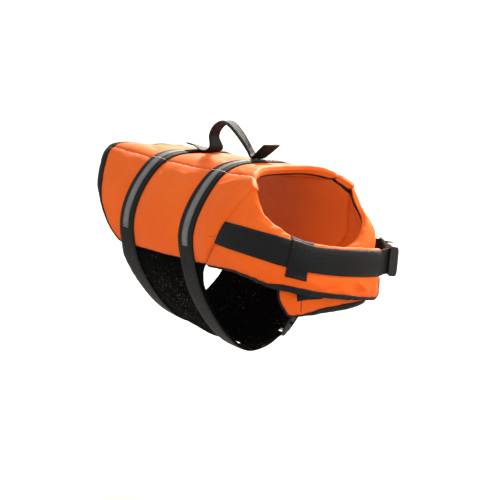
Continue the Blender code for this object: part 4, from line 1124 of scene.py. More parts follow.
def bound_edge(name, O, I, D, N, skin_o, skin_i, w_out, w_in, thick, replaces, seed, sew=True, gap=0.00012):
    K = len(O)
    w_out = np.broadcast_to(w_out, (K,)).astype(float)
    w_in = np.broadcast_to(w_in, (K,)).astype(float)
    th = np.broadcast_to(thick, (K,)).astype(float)[:, None]
    r = np.random.default_rng(seed)
    u = np.arange(K)
    wob = 1 + 0.05 * np.sin(u / 7.0 + r.uniform(0, 6)) + 0.04 * np.sin(u / 3.1 + r.uniform(0, 6)) + 0.035 * r.standard_normal(K)
    wob = smooth_rows(wob, 1)
    fo = np.array([1, 0.86, 0.7, 0.52, 0.34, 0.16])
    fi = np.array([0.16, 0.4, 0.7, 1.0])
    po = O[:, None] + D[:, None] * (w_out * wob)[:, None, None] * fo[None, :, None]
    pi_ = I[:, None] + D[:, None] * (w_in * wob)[:, None, None] * fi[None, :, None]
    Nn = np.repeat(N[:, None], len(fo), 1)
    Ni = np.repeat(-N[:, None], len(fi), 1)
    po = skin_o.drop(po, Nn, gap)
    pi_ = skin_i.drop(pi_, Ni, gap)
    mid, ax = (O + I) / 2, (O - I)
    half = np.linalg.norm(ax, axis=1)[:, None] / 2
    ax = unit(ax)
    arc = []
    for a in np.radians([18, 45, 72, 90, 108, 135, 162]):
        arc.append(mid + ax * math.cos(a) * (half + gap) - D * (math.sin(a) * (half * 0.85 + 0.0002) + 0.0002))
    path = np.concatenate([po, np.stack(arc, 1), pi_], 1)
    path = smooth_rows(path, 1, 2)
    T = unit(np.gradient(O, axis=0))
    tp = np.gradient(path, axis=1)
    nn = unit(np.cross(tp, T[:, None]))
    s = np.sign((nn[:, 1] * N).sum(-1))[:, None, None]
    nn = nn * np.where(s == 0, 1, s)
    Q = path.shape[1]
    j = np.arange(Q)
    prof = np.ones(Q)
    prof[0], prof[-1] = 0.45, 0.45
    prof[1], prof[-2] = 1.08, 1.05
    wav = np.stack([np.sin(u / 2.3 + q * 0.9 + r.uniform(0, 6)) * 0.10 + np.sin(u / 5.7 - q * 0.5) * 0.14 for q in j], 1)
    tt = th * prof[None] * (1 + wav * (prof[None] > 0.9))
    outer = path + nn * tt[..., None]
    inner = path + nn * 0.00002
    tip_o = (path[:, 0] + nn[:, 0] * th * 0.3 + unit(path[:, 0] - path[:, 1]) * th * 0.35)[:, None]
    tip_i = (path[:, -1] + nn[:, -1] * th * 0.3 + unit(path[:, -1] - path[:, -2]) * th * 0.35)[:, None]
    ring = np.concatenate([tip_o, outer, tip_i, inner[:, ::-1]], 1)
    along = np.r_[0, np.cumsum(np.linalg.norm(np.diff(O, axis=0), axis=1))]
    cross = np.concatenate([[0], np.cumsum(np.linalg.norm(np.diff(path[K // 2], axis=0), axis=1))])
    cu = np.concatenate([[0], cross, [cross[-1]], cross[::-1]])
    uv = np.stack([np.repeat(cu[None], K, 0), np.repeat(along[:, None], len(cu), 1)], -1)
    ob = loft(name, ring, uv)
    ob["flat_len"] = float(along[-1])
    ob["flat_wid"] = float(np.mean(w_out + w_in + 2 * half[:, 0]) + 0.0005)
    keep(ob, M_BIND, replaces)
    if sew:
        line = path[:, 1] + nn[:, 1] * th * 1.02
        black_spots.extend(stitch_line(line, nn[:, 1], 0.0028, 0.0021, rng))
    return ob


def pad_rows(pad, rows, j, step):
    O, I = pad["outer"][rows, j], pad["inner"][rows, j]
    D = pad["outer"][rows, j + step] - O
    N = pad["N"][rows, j]
    D = unit(D - N * (D * N).sum(-1, keepdims=True))
    return O, I, D, N, pad["G"][rows, j]


parts_ = []
for pad, order in ((side_l, slice(None, None, -1)), (back, slice(None)), (side_r, slice(None))):
    idx = np.arange(pad["outer"].shape[0])[order]
    if pad is back:
        idx = idx[2:-2]
    parts_.append(pad_rows(pad, idx, 0, 6))
O, I, D, N, G = (np.concatenate([q[k] for q in parts_]) for k in range(5))
keep_rows = np.r_[True, np.linalg.norm(np.diff(O, axis=0), axis=1) > 0.00025]
O, I, D, N, G = O[keep_rows], I[keep_rows], D[keep_rows], N[keep_rows], G[keep_rows]
n_ = len(O)
O, I, D, N, G = resample(O, 0.0015, I, D, N, G)
O, I = smooth_rows(O, 2), smooth_rows(I, 2)
D, N = unit(smooth_rows(D, 2)), unit(smooth_rows(N, 2))
narrow = ease((np.abs(G) - 2.3) / 1.0)
bound_edge("rear_edge_binding", O, I, D, N, OUT, INN, 0.0112 - 0.0075 * narrow, 0.0060 - 0.0025 * narrow, 0.0010,
           ["rear_binding"], 301)


def flap_rim(F, v_stop, ends):
    """Rim of a flap: along the lower edge from the fold, round the corner, up the end edge."""
    P, Q, N = F["outer"], F["inner"], F["N"]
    n, m = P.shape[:2]
    low = [(i, m - 1) for i in range(3, n)]
    up = [(n - 1, j) for j in range(m - 2, int(np.argmin(abs(F["V"] - v_stop))), -1)]
    ij = np.array(low + up)
    O, I, NN = P[ij[:, 0], ij[:, 1]], Q[ij[:, 0], ij[:, 1]], N[ij[:, 0], ij[:, 1]]
    inn = np.clip(ij, [2, 2], [n - 7, m - 7])
    D = P[inn[:, 0], inn[:, 1]] - O
    ok = np.r_[True, np.linalg.norm(np.diff(O, axis=0), axis=1) > 0.0002]
    w = np.interp(F["S"][ij[:, 0]], *ends)
    O, I, NN, D, w = O[ok], I[ok], NN[ok], D[ok], w[ok]
    O, I, NN, D, w = resample(O, 0.0013, I, NN, D, w)
    O, I, NN = smooth_rows(O, 1), smooth_rows(I, 1), unit(smooth_rows(NN, 2))
    T = unit(np.gradient(O, axis=0))
    D2 = unit(np.cross(T, NN))
    D2 *= np.sign((D2 * D).sum(-1, keepdims=True))
    return O, I, unit(smooth_rows(D2, 2)), NN, smooth_rows(w, 3) * MM


O, I, D, N, W = flap_rim(flap_r, 2.06, ([0, 2.7, 3.5, 5.0, 6.2, 7.2, 8.85, 9], [1.1, 1.3, 4.6, 4.2, 2.9, 1.5, 1.2, 2.6]))
bound_edge("chest_binding_right", O, I, D, N, FR_OUT, FR_INN, W, 0.0042, 0.00085, ["flap_binding_right"], 311)
O, I, D, N, W = flap_rim(flap_l, 0.30, ([0, 2.8, 3.5, 4.3, 6.1, 6.9, 8], [1.5, 1.6, 2.6, 4.4, 4.2, 0.8, 0.7]))
bound_edge("chest_binding_left", O, I, D, N, FL_OUT, FL_INN, W, np.where(W < 0.0020, 0.0022, 0.0040), np.clip(W * 0.30, 0.00034, 0.0008), ["flap_binding_left"], 317)


# bindings inside the neck edge: a tape with one folded edge
def neck_tape(name, O, I, D, N, skin_i, replaces, up=0.0):
    """O, I: outer and inner rim; D into the pad; N outward normal; up: how much nearer the rim."""
    f = np.array([0.0028, 0.0038, 0.0050, 0.0062, 0.0074])
    p = I[:, None] + D[:, None] * (f[None, :, None] - np.broadcast_to(up, len(I))[:, None, None])
    nn = np.repeat(-N[:, None], len(f), 1)
    p = smooth_rows(skin_i.drop(p, nn, 0.00015), 1, 2)
    k = len(p)
    top = p + nn * np.array([0.0007, 0.0010, 0.0009, 0.0010, 0.0007])[None, :, None]
    uv = np.stack([np.repeat(f[None], k, 0), np.repeat(np.r_[0, np.cumsum(np.linalg.norm(np.diff(O, axis=0), axis=1))][:, None], len(f), 1)], -1)
    ob = pad_mesh(name, top, p, uv, bulge=0.4)
    ob["flat_len"] = float(uv[-1, 0, 1])
    keep(ob, M_BIND, replaces)
    black_spots.extend(stitch_line(p[:, 2] + nn[:, 2] * 0.0010, nn[:, 2], 0.0030, 0.0022, rng))
    return ob


def flap_neck(F, s_top):
    idx = np.arange(1, F["outer"].shape[0] - 4)
    idx = idx[F["S"][idx] < s_top]
    O, I = F["outer"][idx, 0], F["inner"][idx, 0]
    return O, I, unit(F["outer"][idx, 7] - O), F["N"][idx, 0]


line_ = []
q = flap_neck(flap_l, 7.5)
line_.append([z[::-1] for z in q])
for pad, order in ((side_l, slice(None, None, -1)), (back, slice(None)), (side_r, slice(None))):
    idx = np.arange(pad["outer"].shape[0])[order]
    idx = idx[np.abs(pad["G"][idx, -1]) < 1.43]
    line_.append(pad_rows(pad, idx, -1, -6)[:4])
line_.append(flap_neck(flap_r, 8.45))
tag = np.concatenate([np.full(len(q[0]), k, float) for k, q in enumerate(line_)])
O, I, D, N = (np.concatenate([q[k] for q in line_]) for k in range(4))
O, I, D, N, tag = resample(O, 0.0014, I, D, N, tag)
O, I = smooth_rows(O, 2), smooth_rows(I, 2)
D, N = unit(smooth_rows(D, 4, 2)), unit(smooth_rows(N, 3))
cut_l, cut_r = int(np.argmax(tag > 0.5)), int(np.argmax(tag > 3.5))
for name, sl, sk, node in (("neck_tape_left", slice(0, cut_l + 1), Skin(side_l["inner"], flap_l["inner"]), "neck_binding_left"),
                           ("neck_tape_back", slice(cut_l, cut_r + 1), Skin(back["inner"], side_l["inner"], side_r["inner"], flap_l["inner"][:14], flap_r["inner"][:14]), "neck_binding_back"),
                           ("neck_tape_right", slice(cut_r, None), Skin(side_r["inner"], flap_r["inner"]), "neck_binding_right")):
    neck_tape(name, O[sl], I[sl], D[sl], N[sl], sk, [node], 0.0020 * ease(np.arange(cut_l + 1, 0, -1) / 30) if node.endswith("left") else 0.0)

# =====================================================================================
# Chest strap, keeper, hook patch
# =====================================================================================
B_FRONT = np.array([0.1185, 0.0845, -0.0768])
B_LEN = unit(np.array([-0.905, 0.420, 0.050]))
B_OUT = unit(np.array([0.420, 0.905, 0.0]))
B_WID = unit(np.cross(B_OUT, B_LEN))
B_OUT = unit(np.cross(B_LEN, B_WID))
B_FRONT = B_FRONT + B_WID * 0.0024
B_M = Matrix((Vector(B_LEN), Vector(B_WID), Vector(B_OUT))).transposed().to_4x4()
B_M.translation = Vector(B_FRONT)


def in_buckle(x, z, y=0.0):
    return B_FRONT + B_LEN * x + B_OUT * z + B_WID * y


NS, NV = 150, 9
ss, vv = np.meshgrid(np.linspace(0.06, 8.42, NS), np.linspace(1, 2, NV), indexing="ij")
P, Nn = flap_n(-1, ss, vv)
P = P + Nn * 0.0003
down = -B_WID if B_WID[2] > 0 else B_WID
loop = [(-3.6, -13.0), (-0.6, -10.5), (1.9, -7.9), (3.8, -5.0), (4.75, -2.0), (4.95, 0.5), (5.3, 1.45), (5.95, 1.72), (6.6, 1.45),
        (6.95, 0.5), (7.0, -2.2), (6.85, -4.6), (5.9, -6.7), (4.9, -8.0)]
w_ = np.linspace(-WEB_W / 2, WEB_W / 2, NV)
L = np.array([in_buckle(x * MM, z * MM) + down * w_[:, None] for x, z in loop])
k0 = NS - 8
tail = smooth_path(np.concatenate([P[k0:k0 + 1], P[-1:], L]).reshape(-1, NV * 3), 7).reshape(-1, NV, 3)
C = np.concatenate([P[:k0], tail])
C = resample(C[:, NV // 2], 0.0013, C.reshape(len(C), -1))[1].reshape(-1, NV, 3)
T = np.gradient(C, axis=0)
Nn = unit(np.cross(T, np.gradient(C, axis=1)))
if (Nn[20, 4] * flap_n(-1, 1.2, 1.5)[1]).sum() < 0:
    Nn = -Nn
Nn = smooth_rows(Nn, 2)
ob = laid("chest_webbing_right", C, Nn, 0.0, WEB_T)
keep(ob, M_WEB, ["chest_strap_right"])
flat_n = int(np.argmin(np.linalg.norm(C[:, 4] - P[-1, 4], axis=1)))
face_ = C + unit(Nn) * (WEB_T * 0.98)
for j in (0.55, NV - 1.55):
    j0 = int(j)
    line = face_[2:flat_n, j0] * (1 - (j - j0)) + face_[2:flat_n, j0 + 1] * (j - j0)
    black_spots += stitch_line(line, Nn[2:flat_n, j0], 0.0030, 0.0023, rng)
for k in (2, 4, flat_n - 3, flat_n - 6):
    black_spots += stitch_line(face_[k, 1:-1], Nn[k, 1:-1], 0.0024, 0.0019, rng)

# left strap: threaded through the plug, then forwards and down onto the left side
LEFT_RUN = np.array([(67.5, 105.6, -74.2), (60.5, 102.5, -73.6), (53.0, 95.0, -72.8), (46.0, 87.2, -72.0)]) * MM
LEFT_SEWN = np.array([(38, -71.4), (30, -70.8), (22, -70.2), (15, -69.6)]) * MM


def side_point(x, z, off):
    gs = np.linspace(2.0, 4.0, 201)
    zz = torso(np.full(201, x), -gs)[:, 2]
    p, n = torso_n(np.array([x]), np.array([-np.interp(-z, -zz, gs)]))
    return p[0], n[0]


weave_in = [(0.0330, -0.0052), (0.0352, -0.0040), (0.0366, -0.0012), (0.0374, 0.0022), (0.0398, 0.0036), (0.0424, 0.0022),
            (0.0436, -0.0010), (0.0462, -0.0026), (0.0500, -0.0022)]
rows, acr = [], []
for x, z in weave_in:
    rows.append(in_buckle(x, z))
    acr.append(down)
for q in LEFT_RUN:
    rows.append(q)
    acr.append(np.array([0, 0, -1.0]))
for x, z in LEFT_SEWN:
    p, n = side_point(x, z, 0)
    rows.append(OUT.drop(p[None], n[None], 0.0009)[0])
    acr.append(np.array([0, 0, -1.0]))
rows, acr = smooth_path(rows, 7), smooth_path(acr, 7)
c_, a_ = resample(rows, 0.0013, acr)
a_ = unit(a_)
w_ = np.linspace(-WEB_W / 2 + 0.0002, WEB_W / 2 - 0.0002, 9)
C = c_[:, None] + a_[:, None] * w_[None, :, None]
n_l = unit(np.cross(np.gradient(c_, axis=0), a_))
if n_l[-1][1] < 0:
    n_l = -n_l
sewn = ease((0.042 - c_[:, 0]) / 0.006) * (np.arange(len(c_)) > len(c_) // 2)
near = OUT.drop(C, np.repeat(n_l[:, None], 9, 1), 0.0003)
C = C * (1 - sewn[:, None, None]) + near * sewn[:, None, None]
Nn = unit(np.cross(np.gradient(C, axis=0), np.gradient(C, axis=1)))
Nn = Nn * np.sign((Nn * n_l[:, None]).sum(-1, keepdims=True))
Nn = smooth_rows(Nn, 2)
ob = laid("chest_webbing_left", C, Nn, 0.0, WEB_T)
keep(ob, M_WEB, ["chest_strap_left"])
LFACE = Skin(C + unit(Nn) * WEB_T)
# box stitch that holds it on the side
L0, L1 = len(c_) - 4, len(c_) - 20
quad = [c_[L0] - a_[L0] * 0.009, c_[L0] + a_[L0] * 0.009, c_[L1] + a_[L1] * 0.009, c_[L1] - a_[L1] * 0.009]
for i, j in ((0, 1), (1, 2), (2, 3), (3, 0), (0, 2), (1, 3)):
    line = np.linspace(quad[i], quad[j], 14)
    nr = np.repeat(n_l[L0 - 8][None], 14, 0)
    line = LFACE.drop(line, nr, 0.00005)
    black_spots += stitch_line(line, nr, 0.0026, 0.0020, rng)

# keeper loop
KS = np.linspace(3.60, 4.95, 24)
kv = [2.42, 2.38, 2.32, 2.24, 2.16, 2.10, 2.06, 2.02, 1.97, 1.9, 1.75, 1.5, 1.25, 1.1, 1.03, 0.98, 0.94, 0.90, 0.84, 0.74, 0.60, 0.45, 0.30, 0.18, 0.10, 0.05]
lift = np.interp(kv, [0, 0.86, 0.95, 1.02, 1.98, 2.05, 2.14, 3], [0.0002, 0.0003, 0.0013, 0.0021, 0.0021, 0.0013, 0.0003, 0.0003])
rows, nrm = [], []
for v, l_ in zip(kv, lift):
    p, n = flap_n(-1, 3.60 + (KS - 3.60) * (1 - 0.13 * ease((v - 1.0) / 1.2)), np.full(24, v))
    q = FR_OUT.drop(p, n, 0.0)
    hgt = np.maximum(((q - p) * n).sum(-1), 0) if (v < 0.95 or v > 2.05) else np.zeros(24)
    base = q if (v < 0.95 or v > 2.05) else p
    rows.append(base + n * l_)
    nrm.append(n)
jn = 0
ni, mi = [int(np.argmin(abs(flap_r["S"] - q))) for q in (KS[0], KS[-1])]
ridx = np.interp(KS, flap_r["S"], np.arange(len(flap_r["S"])))


def at_rim(grid, j):
    i0 = np.floor(ridx).astype(int)
    w = (ridx - i0)[:, None]
    return grid[i0, j] * (1 - w) + grid[i0 + 1, j] * w


O, I, Nk = at_rim(flap_r["outer"], 0), at_rim(flap_r["inner"], 0), unit(at_rim(flap_r["N"], 0))
Dk = unit(at_rim(flap_r["outer"], 6) - O)
ax, half = unit(O - I), np.linalg.norm(O - I, axis=1)[:, None] / 2
for a in np.radians([20, 50, 80, 110, 140, 165]):
    rows.append((O + I) / 2 + ax * math.cos(a) * (half + 0.0003) - Dk * (math.sin(a) * (half * 0.5 + 0.0005) + 0.0001))
    nrm.append(unit(ax * math.cos(a) - Dk * math.sin(a)))
for d_ in (0.0012, 0.0030, 0.0050, 0.0068):
    rows.append(FR_INN.drop(I + Dk * d_, -Nk, 0.0013 if d_ > 0.0025 else 0.0006))
    nrm.append(-Nk)
rows, nrm = smooth_rows(np.array(rows), 1), unit(np.array(nrm))
acr_k = np.r_[0, np.cumsum(np.linalg.norm(np.diff(rows[10], axis=0), axis=1))]
aln_k = np.r_[0, np.cumsum(np.linalg.norm(np.diff(rows[:, 12], axis=0), axis=1))]
uv = np.stack([np.repeat(acr_k[None], len(rows), 0), np.repeat(aln_k[:, None], 24, 1)], -1)
ob = pad_mesh("keeper_webbing", rows + nrm * 0.0009, rows, uv, bulge=0.3)
keep(ob, M_WEB, ["chest_strap_keeper"])
ob["flat_len"] = float(aln_k[-1])
for k in (2, 20):
    black_spots += stitch_line(rows[k] + nrm[k] * 0.0009, nrm[k], 0.0026, 0.0020, rng)

# hook patch: a fuzzy square on the face of the left flap
ps, pv = np.meshgrid(np.linspace(6.05, 7.28, 26), np.linspace(0, 1, 26), indexing="ij")
pv = 1.47 + pv * (np.interp(ps, [6.05, 7.28], [2.47, 2.345]) - 1.47)
p, n = flap_n(1, ps, pv)
q = FL_OUT.drop(p, n, 0.0002)
uv = np.stack([edge_lengths(p)[0], edge_lengths(p)[2]], -1)
ob = pad_mesh("hook_fastener", q + n * 0.0007, q, uv, bulge=0.2)
keep(ob, M_BIND, ["hook_patch"])

# =====================================================================================
# Carrying handle
# =====================================================================================
hk = np.arange(0, len(HANDLE) - 0.999, 0.125)
hx = rows_at(np.arange(len(HANDLE)), HANDLE, hk)
path = np.stack([hx[:, 0], np.zeros(len(hx)), hx[:, 1]], -1)
wid = hx[:, 2]
path, wid = resample(path, 0.0015, wid)
T = unit(np.gradient(path, axis=0))
nn = unit(np.cross(T, np.array([0, 1.0, 0])))
if nn[3][2] < 0:
    nn = -nn
rings, uvs = [], []
al = np.r_[0, np.cumsum(np.linalg.norm(np.diff(path, axis=0), axis=1))]
# the rear tab lifts along its right edge
tilt = 0.24 * ease((-0.078 - path[:, 0]) / 0.022)
path[:, 2] += np.sin(tilt) * wid / 2 * 0.55
ACR = np.stack([0 * tilt, np.cos(tilt), -np.sin(tilt)], -1)
nn = unit(nn - ACR * (nn * ACR).sum(-1, keepdims=True))
for i in range(len(path)):
    fold = float(np.clip((0.0245 - wid[i]) / 0.0115, 0, 1)) ** 0.7      # 0 flat tab, 1 folded grip
    w = wid[i] / 2
    th = 0.0016 + 0.0020 * fold
    q = np.linspace(0, 2 * math.pi, 28, endpoint=False)
    sq = 0.32 + 0.30 * fold
    ax_ = np.sign(np.cos(q)) * np.abs(np.cos(q)) ** sq * w
    up = np.sign(np.sin(q)) * np.abs(np.sin(q)) ** (0.55 - 0.05 * fold) * th / 2
    # the folded webbing's two edges meet along the underside; its crown is slightly hollow
    up = up - np.where(np.sin(q) < 0, -0.0007 * fold * np.exp(-(ax_ / 0.0012) ** 2), 0.0004 * fold * np.exp(-(ax_ / 0.003) ** 2))
    bend = 0.0009 * (1 - fold) * (ax_ / 0.0125) ** 2 * math.sin(al[i] / 0.02)
    rings.append(path[i] + ax_[:, None] * ACR[i] + (up + bend)[:, None] * nn[i])
    uvs.append(np.stack([ax_ * (1 + 0.9 * fold), np.full(28, al[i])], -1))
# grip: where the handle takes its paler, bluish colour of wear and painted sheen
grip_ = ease((al - 0.046) / 0.012) * ease((al[-1] - 0.046 - al) / 0.012)
ob = loft("handle_webbing", np.array(rings), np.array(uvs), attrs={"grip": np.repeat(grip_[:, None], 28, 1)})
keep(ob, M_HANDLE, ["carry_handle"])
ob["flat_len"] = float(al[-1])
for lo_, hi_ in ((0.003, 0.024),):
    a0, a1 = np.argmin(abs(al - lo_)), np.argmin(abs(al - hi_))
    corner = [path[a0] - ACR[a0] * 0.0095, path[a0] + ACR[a0] * 0.0095, path[a1] + ACR[a1] * 0.0095, path[a1] - ACR[a1] * 0.0095]
    for i, j in ((0, 1), (1, 2), (2, 3), (3, 0), (0, 2), (1, 3)):
        line = np.linspace(corner[i], corner[j], 16) + np.array([0, 0, 0.0009])
        black_spots += stitch_line(line, np.repeat([[0, 0, 1.0]], 16, 0), 0.0026, 0.0020, rng)
for s_ in (-1, 1):
    grip = (al > 0.055) & (al < 0.125)
    line = path[grip] + np.array([0, 1.0, 0]) * s_ * (wid[grip, None] / 2 - 0.0019) + nn[grip] * 0.0017
    black_spots += stitch_line(line, nn[grip], 0.0030, 0.0023, rng)

# =====================================================================================
# Seam threads
# =====================================================================================
for sg in (1, -1):
    xs = np.arange(-0.1965, 0.0615, 0.0012)
    p, n = torso_n(xs, np.full(len(xs), 1.0 * sg))
    p2, _ = torso_n(xs, np.full(len(xs), 1.022 * sg))
    q = OUT.drop(p2, n, 0.0)
    onr = np.abs(xs - STRAP_X["rear"]) < WEB_W / 2 + 0.0004
    onf = np.abs(xs - STRAP_X["front"]) < WEB_W / 2 + 0.0004
    tr = np.abs(xs - STRAP_X["rear"]) < TAPE_W / 2
    tf = np.abs(xs - STRAP_X["front"]) < TAPE_W / 2
    liftw = np.where(onr | onf, 0.0003 + WEB_T + np.where(tr | tf, 0.00055, 0), 0.0)
    q = np.where((onr | onf)[:, None], p2 + n * liftw[:, None], q)
    pale_spots.extend(stitch_line(q + n * 0.00012, n, 0.0027, 0.0023, rng))

# bartack beside the end of the chest strap, and the cross seam near the end of the left flap
tick = np.array([(42, 2.90), (44.5, 2.896), (47, 2.892), (50, 2.89)])
p, n = torso_n(tick[:, 0] * MM, tick[:, 1])
black_spots += stitch_line(OUT.drop(p, n, 0.0001), n, 0.0016, 0.0016, rng)
vs = np.linspace(0.2, 2.86, 40)
p, n = flap_n(1, np.full(40, 7.05), vs)
black_spots += stitch_line(FL_OUT.drop(p, n, 0.0001), n, 0.0020, 0.0020, rng)
p, n = flap_n(1, np.full(40, 7.085), vs)
black_spots += stitch_line(FL_OUT.drop(p, n, 0.0001), n, 0.0021, 0.0020, rng)

ob = stitch_mesh("seam_thread", pale_spots, 0.00031)
keep(ob, M_THREAD)
ob = stitch_mesh("black_stitches", black_spots, 0.00026)
keep(ob, M_BLACK)


# =====================================================================================
# Side-release buckles
# =====================================================================================
def solid(name, bm):
    me = bpy.data.meshes.new(name)
    bmesh.ops.recalc_face_normals(bm, faces=bm.faces[:])
    bm.to_mesh(me)
    bm.free()
    ob = bpy.data.objects.new(name, me)
    bpy.context.scene.collection.objects.link(ob)
    return ob


def rounded_box(name, lo, hi, r=0.0004, seg=3):
    bm = bmesh.new()
    bmesh.ops.create_cube(bm, size=1.0)
    lo, hi = Vector(lo), Vector(hi)
    bmesh.ops.scale(bm, vec=hi - lo, verts=bm.verts)
    bmesh.ops.translate(bm, vec=(lo + hi) / 2, verts=bm.verts)
    if r:
        bmesh.ops.bevel(bm, geom=bm.edges[:], offset=r, segments=seg, affect="EDGES", profile=0.5)
    return solid(name, bm)


def plate(name, outline, z0, z1, r=0.0004, seg=2):
    bm = bmesh.new()
    low = [bm.verts.new((x, y, z0)) for x, y in outline]
    face = bm.faces.new(low)
    ext = bmesh.ops.extrude_face_region(bm, geom=[face])
    bmesh.ops.translate(bm, vec=(0, 0, z1 - z0), verts=[v for v in ext["geom"] if isinstance(v, bmesh.types.BMVert)])
    bmesh.ops.recalc_face_normals(bm, faces=bm.faces[:])
    if r:
        caps = [e for e in bm.edges if any(abs(f.normal.z) > 0.9 for f in e.link_faces)]
        bmesh.ops.bevel(bm, geom=caps, offset=r, segments=seg, affect="EDGES", profile=0.5, clamp_overlap=True)
    return solid(name, bm)


def carve(ob, cutters, mode="DIFFERENCE"):
    for c in cutters:
        m = ob.modifiers.new("cut", "BOOLEAN")
        m.operation = mode
        m.object = c
        m.solver = "EXACT"
    dg = bpy.context.evaluated_depsgraph_get()
    me = bpy.data.meshes.new_from_object(ob.evaluated_get(dg))
    ob.modifiers.clear()
    ob.data = me
    for c in cutters:
        bpy.data.objects.remove(c, do_unlink=True)
    return ob


def side_release(prefix, m, woven=False):
    """woven: the strap end has two slots and a middle bar."""
    b = BUCKLE
    w, t, n = b["socket_w"] / 2, b["socket_t"] / 2, b["socket_len"]
    # body: widest in the middle, lens-shaped in section
    rings = []
    strap_end = [(0.0, 0.90, 0.50), (0.0007, 0.955, 0.60), (0.0022, 0.985, 0.66), (0.0058, 0.992, 0.72), (0.0088, 1.0, 0.93)]
    if woven:
        strap_end = [(0.0, 0.95, 0.76), (0.0005, 0.985, 0.85), (0.0014, 1.0, 0.90), (0.0050, 1.0, 0.90), (0.0088, 1.0, 0.94)]
    for x, ww, hh in [*strap_end, (0.012, 1.0, 0.985), (0.017, 0.992, 1.0), (0.022, 0.992, 1.0), (0.0262, 1.0, 0.97), (0.0288, 0.992, 0.93), (0.0297, 0.96, 0.87), (n, 0.90, 0.78)]:
        q = np.linspace(0, 2 * math.pi, 56, endpoint=False) + 0.001
        y = np.sign(np.cos(q)) * np.abs(np.cos(q)) ** 0.30 * w * ww
        z = np.sign(np.sin(q)) * np.abs(np.sin(q)) ** 0.42 * t * hh * (1 - 0.10 * (y / w) ** 4)
        rings.append(np.stack([np.full(56, x), y, z], -1))
    sock = loft(prefix + "_female", np.array(rings))
    sw = b["slot_w"] / 2
    cuts = [rounded_box("c1", (0.0104 if woven else 0.0088, -w + 0.0022, -t + 0.0020), (n + 0.01, w - 0.0022, t - 0.0020), 0.0005),
            rounded_box("c2", (0.0138, -w - 0.01, -t + 0.0016), (0.0246, w + 0.01, t - 0.0016), 0.0014, 4),
            rounded_box("c3", (0.0022, -sw, -0.02), (0.0052 if woven else 0.0058, sw, 0.02), 0.0006)]
    if woven:
        cuts += [rounded_box("c3", (0.0066, -sw, -0.02), (0.0092, sw, 0.02), 0.0006),
                 rounded_box("c3", (0.0049, -sw, 0.0014), (0.0069, sw, 0.02), 0.0003),
                 rounded_box("c3", (0.0049, -sw, -0.02), (0.0069, sw, -0.0028), 0.0003)]
    # shallow finger recess on both faces, and the open mouth's notch
    for s in (-1, 1):
        bm = bmesh.new()
        bmesh.ops.create_uvsphere(bm, u_segments=40, v_segments=20, radius=1.0)
        bmesh.ops.scale(bm, vec=(0.0062, 0.0088, 0.0016), verts=bm.verts)
        bmesh.ops.translate(bm, vec=(0.0185, 0, s * (t + 0.0004)), verts=bm.verts)
        cuts.append(solid("c4", bm))
        bm = bmesh.new()
        bmesh.ops.create_uvsphere(bm, u_segments=32, v_segments=12, radius=1.0)
        bmesh.ops.scale(bm, vec=(0.0032, 0.0060, 0.004), verts=bm.verts)
        bmesh.ops.translate(bm, vec=(n + 0.0008, 0, s * t), verts=bm.verts)
        cuts.append(solid("c5", bm))
    carve(sock, cuts)
    hw, ht = b["plug_w"] / 2, b["plug_t"] / 2 * 0.78
    x0, x1 = b["plug_from"], b["plug_to"]
    arm_in, arm_out, catch, tip = 0.0066, 0.0096, 0.0139, 0.0110

    def arc(cx, cy, r, a0, a1, k=5):
        return [(cx + r * math.cos(math.radians(a)), cy + r * math.sin(math.radians(a))) for a in np.linspace(a0, a1, k)]
    half = arc(x1 - 0.003, hw - 0.003, 0.003, 0, 90) + arc(x0 + 0.0016, hw - 0.0016, 0.0016, 90, 180)
    half += [(x0, arm_out + 0.0016), (0.0290, arm_out + 0.0004), (0.0262, arm_out), (0.0240, arm_out + 0.0008)]
    half += arc(0.0226, catch - 0.0010, 0.0010, 40, 90, 4) + [(0.0200, catch)] + arc(0.0178, catch - 0.0010, 0.0010, 90, 140, 4)
    half += [(0.0140, arm_out + 0.0016), (tip + 0.0012, arm_out + 0.0002)] + arc(tip + 0.0012, arm_in + 0.0014, 0.0013, 110, 250, 5)
    half += [(0.0200, arm_in), (0.0270, arm_in - 0.0002), (x0 - 0.0008, arm_in - 0.0010), (x0, arm_in - 0.0022), (x0, 0.0026), (0.0290, 0.0019), (0.0140, 0.0016), (0.0128, 0.0009)]
    outline = half + [(x, -y) for x, y in reversed(half)]
    plug = plate(prefix + "_male", outline, -ht, ht, 0.0005, 3)
    cuts = [rounded_box("c6", (x, -b["slot_w"] / 2 + 0.0006, -0.02), (x + b["slot"], b["slot_w"] / 2 - 0.0006, 0.02), 0.0009, 4)
            for x in (x0 + 0.0042, x0 + 0.0110)]
    carve(plug, cuts)
    # thumb ridges on the base beside the mouth
    ribs = []
    for k, y in enumerate((-0.009, -0.006, -0.003, 0.003, 0.006, 0.009)):
        ribs.append(rounded_box("c7", (x0 + 0.0009, y - 0.0006, -ht - 0.0003), (x0 + 0.0034, y + 0.0006, ht + 0.0003), 0.0003, 2))
    carve(plug, ribs, "UNION")
    for ob, nodes in ((sock, prefix + "_socket"), (plug, prefix + "_plug")):
        ob.data.shade_smooth()
        ob.data.set_sharp_from_angle(angle=math.radians(38))
        ob.matrix_world = m
        keep(ob, M_PLASTIC, [nodes])


side_release("chest_buckle", B_M, True)
for key in STRAP_X:
    side_release("belly_buckle_" + key, SEATS[key][3])

# =====================================================================================
# Floor, light, camera
# =====================================================================================
bm = bmesh.new()
R = 30.0
ring = [bm.verts.new((R * math.cos(a), R * math.sin(a), 0)) for a in np.linspace(0, 2 * math.pi, 65)[:-1]]
bm.faces.new(ring)
me = bpy.data.meshes.new("floor")
bm.to_mesh(me)
bm.free()
floor = bpy.data.objects.new("floor", me)
floor.location = (0, 0, -0.315)
bpy.context.scene.collection.objects.link(floor)
fm = Nodes("floor_paint")
fm.b.inputs["Base Color"].default_value = (0.33, 0.33, 0.33, 1)
fm.b.inputs["Roughness"].default_value = 0.85
floor.data.materials.append(fm.mat)

